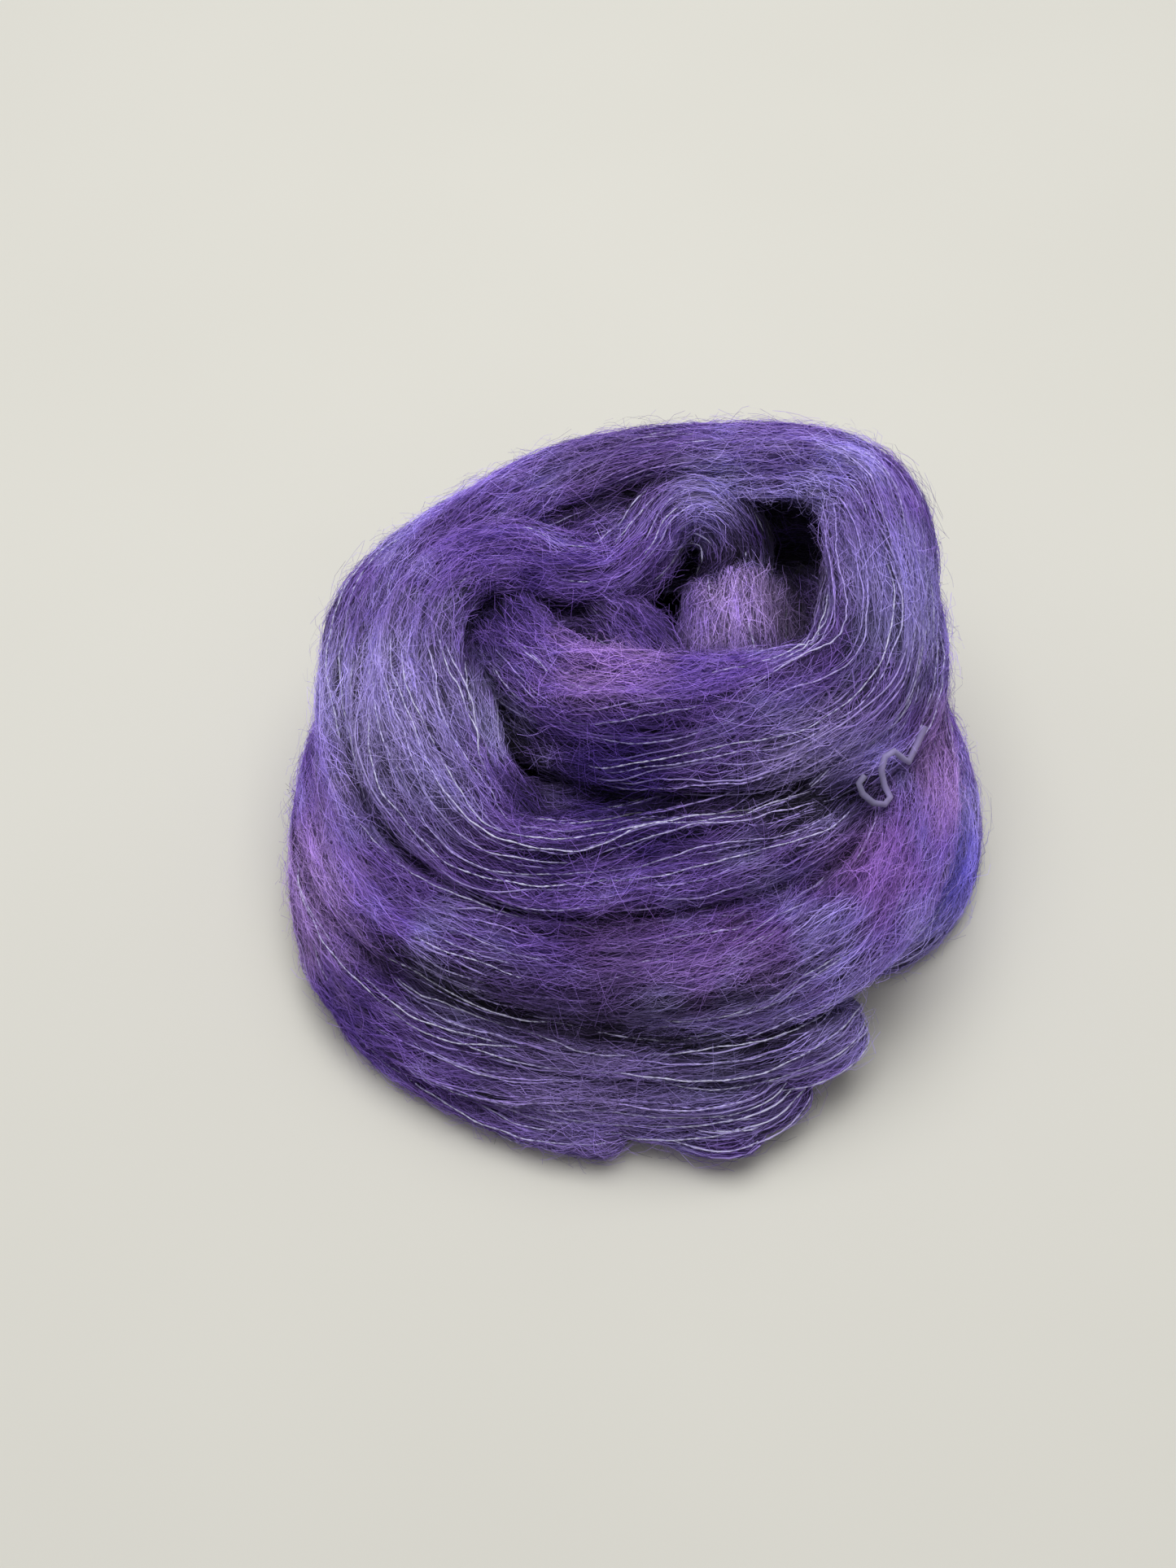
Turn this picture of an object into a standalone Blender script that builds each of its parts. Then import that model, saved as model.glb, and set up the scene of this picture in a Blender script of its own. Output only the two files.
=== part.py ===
"""A hank of brushed mohair yarn, coiled on itself into a low nest, with its tie thread.

The hank is one solid: wide flattened bundles of yarn that wind round the nest, fused where
they lie on each other, with the low ridges of their main twists. Each bundle is a loft
through stations along its middle line. Sizes are in millimetres, +Z is up, and the origin
is on the surface that the hank rests on, under the middle of the nest.
"""

import math
from collections import namedtuple

import bmesh
import bpy
from mathutils import Vector

MM = 0.001

# One station of a bundle: the middle of its section, its half width and half thickness,
# and its roll in degrees. At roll 0 the width lies level, and a positive roll tips down
# the side that is to the right of the bundle's run, which is the outside of the nest.
Station = namedtuple("Station", "x y z half_width half_thick roll")

# The upper bundle: out of the fold on the left, round the rim of the nest by the front,
# the right and the back, and down the left side into the third band of the front slope.
RIM = [
    Station(-31, 37, 41.5, 8.5, 6.0, 40),
    Station(-27.5, 28, 44, 11.0, 7.0, 48),
    Station(-21, 17, 45, 11.5, 7.5, 54),
    Station(-13, 7.5, 46.5, 12.5, 8.5, 57),
    Station(-3.5, 2, 48.8, 13.5, 9.0, 57),
    Station(10, -0.5, 50, 14.0, 9.0, 57),
    Station(25, 0.5, 50.5, 14.5, 9.0, 54),
    Station(38, 6, 51, 13.5, 9.0, 50),
    Station(44, 17, 53, 13.0, 9.0, 46),
    Station(45.5, 31, 57, 12.0, 9.0, 40),
    Station(44, 46, 60, 11.0, 9.0, 34),
    Station(34, 54.5, 60.5, 8.5, 8.0, 30),
    Station(18, 57.5, 58.5, 7.5, 7.5, 32),
    Station(0, 57.5, 57, 7.5, 7.5, 34),
    Station(-18.5, 53.5, 53.5, 9.5, 8.0, 38),
    Station(-36, 45, 47, 11.0, 8.5, 42),
    Station(-48, 34, 42, 11.0, 8.5, 46),
    Station(-52, 16, 35, 10.5, 8.5, 50),
    Station(-50, -3, 30, 10.5, 8.5, 50),
    Station(-44, -18, 28, 10.5, 8.0, 48),
    Station(-32, -29, 28, 10.5, 8.0, 46),
    Station(-16, -37, 28, 10.5, 8.0, 46),
    Station(3, -39, 28, 10.5, 8.0, 46),
    Station(22, -36, 28, 11.5, 8.0, 46),
    Station(38, -27, 29, 12.5, 8.0, 48),
    Station(48, -12, 31, 13.0, 8.0, 52),
    Station(51, 5, 33, 13.0, 8.0, 56),
    Station(50, 23, 34, 12.0, 8.0, 58),
    Station(42, 38, 35, 11.0, 8.0, 58),
    Station(27, 48, 34, 10.0, 8.0, 56),
    Station(9, 52, 32, 9.0, 7.0, 54),
    Station(-11, 50, 30, 8.0, 7.0, 50),
]

# The second bundle: a whirl inside the nest, along the back of the hollow, over the fold
# on the left, and round the front under the rim.
FOLD = [
    Station(17, 36, 40, 6.5, 4.5, 0),
    Station(20, 42, 48, 6.5, 5.0, -6),
    Station(17.5, 47.5, 53.5, 6.5, 5.0, -26),
    Station(11.5, 50, 56, 7.0, 5.5, -36),
    Station(5, 47.5, 54, 6.5, 5.5, -30),
    Station(0, 42, 50.5, 7.0, 6.0, -20),
    Station(-6, 38, 49, 8.0, 6.5, -20),
    Station(-14, 37, 50, 8.5, 7.0, -16),
    Station(-24, 38, 52, 9.5, 7.5, -8),
    Station(-33, 34, 51.5, 9.0, 7.5, 8),
    Station(-40, 24, 50.5, 9.0, 8.0, 16),
    Station(-42, 10, 47.5, 10.0, 8.0, 24),
    Station(-38, -6, 44.5, 11.0, 8.0, 32),
    Station(-28.5, -18.5, 39.5, 9.0, 7.5, 40),
    Station(-15.5, -24, 38.8, 9.5, 8.0, 48),
    Station(1, -24, 39.3, 10.5, 8.0, 52),
    Station(17.5, -21.5, 38.3, 9.5, 7.5, 52),
    Station(33, -15.5, 37.5, 8.0, 7.0, 50),
    Station(43, -6, 36.5, 7.0, 6.5, 46),
    Station(47, 8, 38, 7.0, 6.5, 40),
    Station(47, 22, 38, 7.0, 6.5, 40),
]

# The inner side of the second bundle, which goes down into the crease on the left.
FOLD_INNER = [
    Station(-25, 36, 46, 6.0, 5.0, -24),
    Station(-31, 24, 45, 7.5, 5.0, -38),
    Station(-31.5, 10, 43, 7.5, 5.0, -42),
    Station(-29, -3, 40, 7.5, 5.0, -38),
    Station(-21, -13, 36.5, 7.0, 5.0, -20),
]

# The wall inside the nest, between the rim and the bundles under it.
LINING = [
    Station(34, -6, 42, 8.0, 6.0, 60),
    Station(46, 2, 43, 9.0, 6.0, 72),
    Station(52, 15, 44, 9.0, 6.0, 80),
    Station(52, 31, 45, 9.5, 6.0, 80),
    Station(45, 45, 46, 9.5, 6.0, 80),
    Station(29, 53, 46, 9.5, 6.0, 80),
    Station(10, 54, 46, 9.5, 6.0, 80),
    Station(-10, 50, 44, 9.5, 6.0, 76),
    Station(-28, 41, 42, 9.0, 6.0, 70),
]

# The yarn behind the creases of the front slope.
UNDER_RIM = [
    Station(-27, -7, 31, 8.5, 6.5, 20),
    Station(-12, -13.5, 33.5, 10.0, 7.5, 20),
    Station(5, -14.5, 36.5, 10.0, 7.5, 20),
    Station(22, -12, 38, 10.0, 7.5, 20),
    Station(36, -4, 37, 10.0, 7.5, 20),
    Station(44, 9, 36, 9.0, 7.0, 20),
]
UNDER_FOLD = [
    Station(-38, -11, 27, 9.0, 6.0, 20),
    Station(-23, -22, 28, 9.0, 6.5, 20),
    Station(-4, -28, 29.5, 9.5, 7.0, 20),
    Station(14, -27.5, 31.5, 9.5, 7.0, 20),
    Station(30, -20, 32, 9.5, 6.5, 20),
    Station(42, -7, 32, 9.0, 6.0, 20),
]

# The two bundles that wind round the middle of the slope: one ends on the right of the
# front, and the other starts under it and goes round the back.
SLOPE_LEFT = [
    Station(-25, 51, 24, 8.0, 6.0, 50),
    Station(-44, 39, 23, 9.5, 7.0, 50),
    Station(-54, 22, 22, 9.5, 7.5, 48),
    Station(-56, 3, 21, 9.5, 7.5, 46),
    Station(-51, -15, 20, 9.5, 7.0, 44),
    Station(-39, -30, 20, 9.0, 6.5, 42),
    Station(-22, -41, 19, 9.0, 6.0, 42),
    Station(-3, -46, 18, 8.5, 6.0, 42),
    Station(16, -47, 17, 8.5, 6.0, 40),
    Station(31, -44, 15, 8.0, 5.5, 34),
    Station(37, -39.5, 13, 7.5, 5.0, 28),
]
SLOPE_RIGHT = [
    Station(26, -32, 18, 7.0, 6.0, 46),
    Station(41, -23, 19, 8.5, 7.0, 50),
    Station(51, -8, 20, 9.5, 7.5, 54),
    Station(54.5, 9, 21, 9.5, 7.5, 56),
    Station(52.5, 26, 22, 9.5, 7.5, 58),
    Station(46, 40, 24, 9.5, 7.5, 58),
    Station(30, 51, 25, 9.5, 7.5, 58),
    Station(11, 56, 25, 9.5, 7.5, 58),
    Station(-10, 56, 25, 9.5, 7.5, 56),
    Station(-28, 50, 25, 8.5, 6.5, 54),
]

# The bundles on the surface.
BASE_LEFT = [
    Station(-18, 56, 11, 8.0, 7.0, 44),
    Station(-39, 47, 11, 9.0, 7.5, 42),
    Station(-53, 31, 11, 9.5, 8.0, 40),
    Station(-58, 12, 11, 9.5, 8.0, 38),
    Station(-58, -8.5, 11, 9.5, 7.5, 36),
    Station(-51, -28, 11, 9.0, 7.0, 36),
    Station(-35, -42, 11, 9.0, 6.5, 36),
    Station(-14, -50, 10.5, 9.0, 6.0, 36),
    Station(7, -53, 10, 9.0, 6.0, 34),
    Station(20, -52.5, 9, 8.5, 5.5, 28),
    Station(26, -48.5, 8, 8.0, 5.0, 22),
]
BASE_RIGHT = [
    Station(37, -18.5, 7, 8.0, 7.0, 24),
    Station(50, -12.5, 7, 9.5, 8.0, 30),
    Station(58, 1, 8, 10.0, 8.5, 36),
    Station(59, 17, 8.5, 10.0, 8.5, 40),
    Station(55, 33, 9, 10.0, 8.5, 44),
    Station(43, 47, 9.5, 10.0, 8.5, 46),
    Station(26, 56, 10, 10.0, 8.5, 46),
    Station(6, 59.5, 10, 10.0, 8.5, 46),
    Station(-14, 58, 10, 9.5, 8.0, 46),
    Station(-32, 51, 10, 9.0, 7.5, 44),
]
FLOOR_LEFT = [
    Station(-44, 31, 5, 8.0, 6.0, 10),
    Station(-54, 12, 5, 8.5, 7.0, 10),
    Station(-54, -9, 5, 8.5, 7.0, 10),
    Station(-49, -30, 5, 8.5, 6.5, 12),
    Station(-35, -43.5, 5, 8.0, 6.5, 14),
    Station(-19, -52.5, 5, 7.5, 6.5, 16),
    Station(-6, -56.5, 4.5, 7.0, 6.0, 16),
]
FLOOR_FRONT = [
    Station(-4, -43, 5, 8.0, 5.5, 0),
    Station(6, -51, 5, 8.5, 6.5, 6),
    Station(14, -55, 5, 8.0, 6.5, 10),
    Station(19, -55.5, 5, 7.5, 6.5, 10),
]

# The bundles inside the hollow: the saddle that comes up from its depth and goes under the
# front of the rim, the strand groups on both sides of it, and those behind and under it.
SADDLE = [
    Station(23, 44, 34, 9.0, 6.0, 0),
    Station(22, 39, 40, 10.5, 8.0, 0),
    Station(21, 32, 44, 11.0, 9.5, 0),
    Station(20, 23, 44, 11.0, 10.0, 0),
    Station(19, 13, 43, 11.0, 8.0, 0),
]
HOLLOW_LEFT = [
    Station(-8, 38, 41, 6.0, 6.0, 0),
    Station(-5, 31, 43, 7.0, 8.0, 8),
    Station(0, 23, 44, 7.5, 8.0, 8),
    Station(5, 13, 43, 8.0, 7.0, 0),
]
HOLLOW_RIGHT = [
    Station(30, 12, 40, 6.0, 6.0, 0),
    Station(36, 20, 42, 6.5, 6.5, 0),
    Station(38, 30, 42.5, 6.5, 6.5, 0),
    Station(35, 40, 41, 6.0, 6.0, 0),
]
HOLLOW_BACK = [
    Station(-30, 43.5, 48.5, 6.0, 5.0, 0),
    Station(-16, 46, 51.5, 7.0, 5.0, 0),
    Station(-3, 50, 53, 6.5, 5.0, 0),
]
HOLLOW_FLOOR = [
    Station(-28, 23, 42.5, 9.0, 6.0, 0),
    Station(-19, 26, 42.5, 9.5, 6.0, 0),
    Station(-8, 26, 40.5, 9.5, 6.0, 0),
    Station(6, 25, 36.5, 9.5, 6.0, 0),
]

BUNDLES = {
    "rim": RIM,
    "fold": FOLD,
    "fold_inner": FOLD_INNER,
    "lining": LINING,
    "under_rim": UNDER_RIM,
    "under_fold": UNDER_FOLD,
    "slope_left": SLOPE_LEFT,
    "slope_right": SLOPE_RIGHT,
    "base_left": BASE_LEFT,
    "base_right": BASE_RIGHT,
    "floor_left": FLOOR_LEFT,
    "floor_front": FLOOR_FRONT,
    "saddle": SADDLE,
    "hollow_left": HOLLOW_LEFT,
    "hollow_right": HOLLOW_RIGHT,
    "hollow_back": HOLLOW_BACK,
    "hollow_floor": HOLLOW_FLOOR,
}

# The yarn under the bundles, as rounded heaps: the middle of the nest, the heap under the
# back of the second bundle, and the floor of the hollow on the right.
Heap = namedtuple("Heap", "x y z radius_x radius_y radius_z")
HEAPS = {
    "heart": Heap(1, 4, 0, 51, 49, 38),
    "back_heap": Heap(-7, 34, 26, 34, 20, 19),
    "hollow_heap": Heap(32, 29, 19, 23, 24, 15),
}

SECTION_SIDES = 20
STATION_SPACING = 7.0
TWIST_RIDGES = 5
RIDGE_DEPTH = 0.11
TWIST_LENGTH = 420.0

# The rounded ends of a bundle: how far past its last station, and how wide there.
EndRing = namedtuple("EndRing", "reach scale")
END_RINGS = [EndRing(2.6, 0.84), EndRing(4.4, 0.5)]
END_TIP = 5.2

# How finely the bundles are melted into one skin, and how many triangles it keeps.
VOXEL = 1.3
TRIANGLES = 10400
MERGE_REACH = 0.02

# What is cut off below the surface, and how near to it a point counts as on the flat.
FLOOR_CUT_LOW = (-100, -100, -60)
FLOOR_CUT_HIGH = (100, 100, 0)
FLAT_REACH = 0.2

# The tie thread, which comes out of the crevice on the right, curls and goes back in.
TIE_DIAMETER = 1.2
TIE_SPACING = 2.6
TIE_ROUTE = [
    (52.9, 1.9, 48.6),
    (51.3, -1.0, 46.9),
    (49.6, -4.3, 46.0),
    (48.0, -4.8, 48.2),
    (46.5, -4.8, 50.1),
    (44.8, -5.8, 49.8),
    (44.2, -7.4, 47.8),
    (44.8, -9.2, 45.7),
    (45.9, -11.0, 44.4),
    (44.8, -12.6, 44.4),
    (42.6, -12.9, 45.3),
    (40.6, -11.8, 46.6),
    (39.9, -10.4, 47.9),
    (41.0, -9.2, 48.7),
]

YARN_COLOUR = (0.19, 0.12, 0.33, 1.0)
YARN_ROUGHNESS = 0.9
TIE_COLOUR = (0.42, 0.40, 0.58, 1.0)
TIE_ROUGHNESS = 0.7


def clear_scene():
    for old in list(bpy.data.objects):
        bpy.data.objects.remove(old)


def new_collection(name):
    made = bpy.data.collections.new(name)
    bpy.context.scene.collection.children.link(made)
    return made


def material(name, colour, roughness):
    made = bpy.data.materials.new(name)
    made.use_nodes = True
    shader = made.node_tree.nodes["Principled BSDF"]
    shader.inputs["Base Color"].default_value = colour
    shader.inputs["Roughness"].default_value = roughness
    shader.inputs["Metallic"].default_value = 0.0
    return made


def smooth_rows(rows, spacing):
    """The rows of numbers again, on one smooth curve through them, about spacing apart."""
    made = []
    last = len(rows) - 1
    for i in range(last):
        before, here = rows[max(i - 1, 0)], rows[i]
        there, after = rows[i + 1], rows[min(i + 2, last)]
        steps = max(1, round(math.dist(here[:3], there[:3]) / spacing))
        for k in range(steps):
            t = k / steps
            made.append([
                0.5 * (2 * b + (c - a) * t + (2 * a - 5 * b + 4 * c - d) * t**2
                       + (3 * b - a - 3 * c + d) * t**3)
                for a, b, c, d in zip(before, here, there, after)
            ])
    made.append(list(rows[-1]))
    return made


def section_ring(middle, width_axis, thick_axis, turn, scale):
    """The points round one section: a flattened round with the ridges of the main twists."""
    ring = []
    for i in range(SECTION_SIDES):
        angle = 2 * math.pi * i / SECTION_SIDES
        ridge = RIDGE_DEPTH * (math.cos(TWIST_RIDGES * (angle - turn)) - 0.5)
        across = width_axis * math.cos(angle)
        through = thick_axis * math.sin(angle)
        ring.append(middle + (across + through) * (scale * (1 + ridge)))
    return ring


def bundle_rings(stations):
    """The sections of a bundle, in millimetres, and the points of its two ends."""
    rows = smooth_rows(stations, STATION_SPACING)
    middles = [Vector(row[:3]) for row in rows]
    rings, run = [], 0.0
    tips = []
    last = len(rows) - 1
    for i, row in enumerate(rows):
        ahead = (middles[min(i + 1, last)] - middles[max(i - 1, 0)]).normalized()
        level = ahead.cross(Vector((0, 0, 1))).normalized()
        upward = level.cross(ahead)
        roll = math.radians(row[5])
        width_axis = (level * math.cos(roll) - upward * math.sin(roll)) * row[3]
        thick_axis = (level * math.sin(roll) + upward * math.cos(roll)) * row[4]
        if i:
            run += (middles[i] - middles[i - 1]).length
        turn = 2 * math.pi * run / TWIST_LENGTH
        rings.append(section_ring(middles[i], width_axis, thick_axis, turn, 1.0))
        if i in (0, last):
            outward = ahead if i else -ahead
            caps = [
                section_ring(middles[i] + outward * end.reach, width_axis, thick_axis, turn, end.scale)
                for end in END_RINGS
            ]
            tips.append((caps, middles[i] + outward * END_TIP))
    (start_caps, start_tip), (end_caps, end_tip) = tips
    return start_caps[::-1] + rings + end_caps, start_tip, end_tip


def mesh_object(name, mesh, home):
    data = bpy.data.meshes.new(name)
    bmesh.ops.recalc_face_normals(mesh, faces=mesh.faces)
    bmesh.ops.scale(mesh, vec=(MM, MM, MM), verts=mesh.verts)
    mesh.to_mesh(data)
    mesh.free()
    made = bpy.data.objects.new(name, data)
    home.objects.link(made)
    return made


def bundle_object(name, stations, home):
    rings, start_tip, end_tip = bundle_rings(stations)
    mesh = bmesh.new()
    loops = [[mesh.verts.new(point) for point in ring] for ring in rings]
    for first, second in zip(loops, loops[1:]):
        for i in range(SECTION_SIDES):
            j = (i + 1) % SECTION_SIDES
            mesh.faces.new((first[i], first[j], second[j], second[i]))
    for loop, tip in ((loops[0], start_tip), (loops[-1], end_tip)):
        point = mesh.verts.new(tip)
        for i in range(SECTION_SIDES):
            mesh.faces.new((loop[i], loop[(i + 1) % SECTION_SIDES], point))
    return mesh_object(name, mesh, home)


def heap_object(name, heap, home):
    mesh = bmesh.new()
    bmesh.ops.create_icosphere(mesh, subdivisions=3, radius=1.0)
    bmesh.ops.scale(mesh, vec=Vector(heap[3:]), verts=mesh.verts)
    bmesh.ops.translate(mesh, vec=Vector(heap[:3]), verts=mesh.verts)
    return mesh_object(name, mesh, home)


def box_object(name, low, high, home):
    mesh = bmesh.new()
    bmesh.ops.create_cube(mesh, size=1.0)
    low, high = Vector(low), Vector(high)
    bmesh.ops.scale(mesh, vec=high - low, verts=mesh.verts)
    bmesh.ops.translate(mesh, vec=(low + high) / 2, verts=mesh.verts)
    return mesh_object(name, mesh, home)


def tie_points():
    return [Vector(row) for row in smooth_rows(TIE_ROUTE, TIE_SPACING)]


def thread_object(name, points, diameter, home):
    """A round thread along the points, as a curve with filled ends."""
    curve = bpy.data.curves.new(name, "CURVE")
    curve.dimensions = "3D"
    curve.bevel_depth = diameter / 2 * MM
    curve.bevel_resolution = 2
    curve.use_fill_caps = True
    spline = curve.splines.new("POLY")
    spline.points.add(len(points) - 1)
    for point, place in zip(spline.points, points):
        point.co = (*(place * MM), 1.0)
    spline.use_smooth = True
    made = bpy.data.objects.new(name, curve)
    home.objects.link(made)
    return made


def apply_step(target, kind, **settings):
    """Apply one modifier to the object, and leave it as a plain mesh."""
    step = target.modifiers.new(kind.lower(), kind)
    for name, value in settings.items():
        setattr(step, name, value)
    bpy.context.view_layer.update()
    seen = target.evaluated_get(bpy.context.evaluated_depsgraph_get())
    data = bpy.data.meshes.new_from_object(seen)
    target.modifiers.clear()
    target.data = data


def cut_away(target, cutter):
    apply_step(target, "BOOLEAN", operation="DIFFERENCE", solver="EXACT", object=cutter)


def keep_outer_skin(target):
    """Drop every separate skin but the largest, which fills the gaps sealed inside."""
    mesh = bmesh.new()
    mesh.from_mesh(target.data)
    left = set(mesh.verts)
    skins = []
    while left:
        found, front = set(), [left.pop()]
        while front:
            vert = front.pop()
            found.add(vert)
            for edge in vert.link_edges:
                other = edge.other_vert(vert)
                if other in left:
                    left.remove(other)
                    front.append(other)
        skins.append(found)
    largest = max(skins, key=len)
    spare = [vert for skin in skins if skin is not largest for vert in skin]
    bmesh.ops.delete(mesh, geom=spare, context="VERTS")
    mesh.to_mesh(target.data)
    mesh.free()


def settle_flat(target):
    """Put the points of the flat that the hank rests on at one height, and shade smooth."""
    mesh = bmesh.new()
    mesh.from_mesh(target.data)
    for vert in mesh.verts:
        if abs(vert.co.z) < FLAT_REACH * MM:
            vert.co.z = 0.0
    bmesh.ops.remove_doubles(mesh, verts=mesh.verts, dist=MERGE_REACH * MM)
    bmesh.ops.triangulate(mesh, faces=mesh.faces)
    for face in mesh.faces:
        face.smooth = True
    mesh.to_mesh(target.data)
    mesh.free()


def triangle_count(target):
    return sum(len(face.vertices) - 2 for face in target.data.polygons)


def build_hank(home, guides):
    """Melt the heaps and the bundles into one skin, and cut it flat where it rests."""
    pieces = [heap_object(name, heap, guides) for name, heap in HEAPS.items()]
    pieces += [bundle_object(name, stations, guides) for name, stations in BUNDLES.items()]
    skin = bmesh.new()
    for piece in pieces:
        skin.from_mesh(piece.data)
        bpy.data.objects.remove(piece)
    data = bpy.data.meshes.new("hank")
    skin.to_mesh(data)
    skin.free()
    hank = bpy.data.objects.new("hank", data)
    home.objects.link(hank)
    apply_step(hank, "REMESH", mode="VOXEL", voxel_size=VOXEL * MM)
    keep_outer_skin(hank)
    cut_away(hank, box_object("floor_cut", FLOOR_CUT_LOW, FLOOR_CUT_HIGH, guides))
    keep_outer_skin(hank)
    apply_step(hank, "DECIMATE", ratio=TRIANGLES / triangle_count(hank))
    settle_flat(hank)
    return hank


def main():
    clear_scene()
    home = new_collection("mohair_yarn")
    guides = new_collection("cutters")
    hank = build_hank(home, guides)
    hank.data.name = "hank"
    hank.data.materials.append(material("mohair", YARN_COLOUR, YARN_ROUGHNESS))
    tie = thread_object("tie_thread", tie_points(), TIE_DIAMETER, home)
    tie.data.materials.append(material("tie_silk", TIE_COLOUR, TIE_ROUGHNESS))
    for guide in guides.objects:
        guide.hide_render = True
        guide.display_type = "WIRE"


main()
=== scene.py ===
"""The looks of a hank of brushed mohair yarn, coiled into a low nest, with its tie thread.

The hank's bundles are lofted from the same stations as the solid, as one wool surface that
only shows between the strands. Geometry Nodes spin the silk core threads along each bundle
and brush the mohair's fibres over it. Tables are in millimetres, and the rest in metres.
"""

import math
from collections import namedtuple

import bmesh
import bpy
import numpy as np
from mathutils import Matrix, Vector
from mathutils.bvhtree import BVHTree
from mathutils.kdtree import KDTree


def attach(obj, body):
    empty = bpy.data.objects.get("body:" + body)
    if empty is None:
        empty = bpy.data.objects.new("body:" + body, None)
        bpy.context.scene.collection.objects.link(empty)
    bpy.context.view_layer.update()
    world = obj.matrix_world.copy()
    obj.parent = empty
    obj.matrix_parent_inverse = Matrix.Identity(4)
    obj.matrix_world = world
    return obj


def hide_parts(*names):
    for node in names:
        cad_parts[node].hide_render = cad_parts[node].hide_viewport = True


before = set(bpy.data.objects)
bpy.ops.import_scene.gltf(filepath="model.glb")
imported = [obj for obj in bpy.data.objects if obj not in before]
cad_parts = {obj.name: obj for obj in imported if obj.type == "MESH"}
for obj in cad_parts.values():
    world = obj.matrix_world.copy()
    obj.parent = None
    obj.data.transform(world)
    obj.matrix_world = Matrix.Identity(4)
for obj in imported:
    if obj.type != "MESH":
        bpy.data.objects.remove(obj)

MM = 0.001
TAU = 2 * math.pi
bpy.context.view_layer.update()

# The bundles, by name. Each row is a station, as in the solid: the middle of its section,
# its half width and half thickness, and its roll in degrees.
BUNDLES = {}

# The upper bundle: out of the fold on the left, round the rim of the nest by the front,
# the right and the back, and down the left side into the third band of the front slope.
BUNDLES["rim"] = [
    (-31, 37, 41.5, 8.5, 6, 40),
    (-27.5, 28, 44, 11, 7, 48),
    (-21, 17, 45, 11.5, 7.5, 54),
    (-13, 7.5, 46.5, 12.5, 8.5, 57),
    (-3.5, 2, 48.8, 13.5, 9, 57),
    (10, -0.5, 50, 14, 9, 57),
    (25, 0.5, 50.5, 14.5, 9, 54),
    (38, 6, 51, 13.5, 9, 50),
    (44, 17, 53, 13, 9, 46),
    (45.5, 31, 57, 12, 9, 40),
    (44, 46, 60, 11, 9, 34),
    (34, 54.5, 60.5, 8.5, 8, 30),
    (18, 57.5, 58.5, 7.5, 7.5, 32),
    (0, 57.5, 57, 7.5, 7.5, 34),
    (-18.5, 53.5, 53.5, 9.5, 8, 38),
    (-36, 45, 47, 11, 8.5, 42),
    (-48, 34, 42, 11, 8.5, 46),
    (-52, 16, 35, 10.5, 8.5, 50),
    (-50, -3, 30, 10.5, 8.5, 50),
    (-44, -18, 28, 10.5, 8, 48),
    (-32, -29, 28, 10.5, 8, 46),
    (-16, -37, 28, 10.5, 8, 46),
    (3, -39, 28, 10.5, 8, 46),
    (22, -36, 28, 11.5, 8, 46),
    (38, -27, 29, 12.5, 8, 48),
    (48, -12, 31, 13, 8, 52),
    (51, 5, 33, 13, 8, 56),
    (50, 23, 34, 12, 8, 58),
    (42, 38, 35, 11, 8, 58),
    (27, 48, 34, 10, 8, 56),
    (9, 52, 32, 9, 7, 54),
    (-11, 50, 30, 8, 7, 50),
]

# The second bundle: a whirl inside the nest, along the back of the hollow, over the fold
# on the left, and round the front under the rim.
BUNDLES["fold"] = [
    (17, 36, 40, 6.5, 4.5, 0),
    (20, 42, 48, 6.5, 5, -6),
    (17.5, 47.5, 53.5, 6.5, 5, -26),
    (11.5, 50, 56, 7, 5.5, -36),
    (5, 47.5, 54, 6.5, 5.5, -30),
    (0, 42, 50.5, 7, 6, -20),
    (-6, 38, 49, 8, 6.5, -20),
    (-14, 37, 50, 8.5, 7, -16),
    (-24, 38, 52, 9.5, 7.5, -8),
    (-33, 34, 51.5, 9, 7.5, 8),
    (-40, 24, 50.5, 9, 8, 16),
    (-42, 10, 47.5, 10, 8, 24),
    (-38, -6, 44.5, 11, 8, 32),
    (-28.5, -18.5, 39.5, 9, 7.5, 40),
    (-15.5, -24, 38.8, 9.5, 8, 48),
    (1, -24, 39.3, 10.5, 8, 52),
    (17.5, -21.5, 38.3, 9.5, 7.5, 52),
    (33, -15.5, 37.5, 8, 7, 50),
    (43, -6, 36.5, 7, 6.5, 46),
    (47, 8, 38, 7, 6.5, 40),
    (47, 22, 38, 7, 6.5, 40),
]

# The inner side of the second bundle, which goes down into the crease on the left.
BUNDLES["fold_inner"] = [
    (-25, 36, 46, 6, 5, -24),
    (-31, 24, 45, 7.5, 5, -38),
    (-31.5, 10, 43, 7.5, 5, -42),
    (-29, -3, 40, 7.5, 5, -38),
    (-21, -13, 36.5, 7, 5, -20),
]

# The wall inside the nest, between the rim and the bundles under it.
BUNDLES["lining"] = [
    (34, -6, 42, 8, 6, 60),
    (46, 2, 43, 9, 6, 72),
    (52, 15, 44, 9, 6, 80),
    (52, 31, 45, 9.5, 6, 80),
    (45, 45, 46, 9.5, 6, 80),
    (29, 53, 46, 9.5, 6, 80),
    (10, 54, 46, 9.5, 6, 80),
    (-10, 50, 44, 9.5, 6, 76),
    (-28, 41, 42, 9, 6, 70),
]

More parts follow.
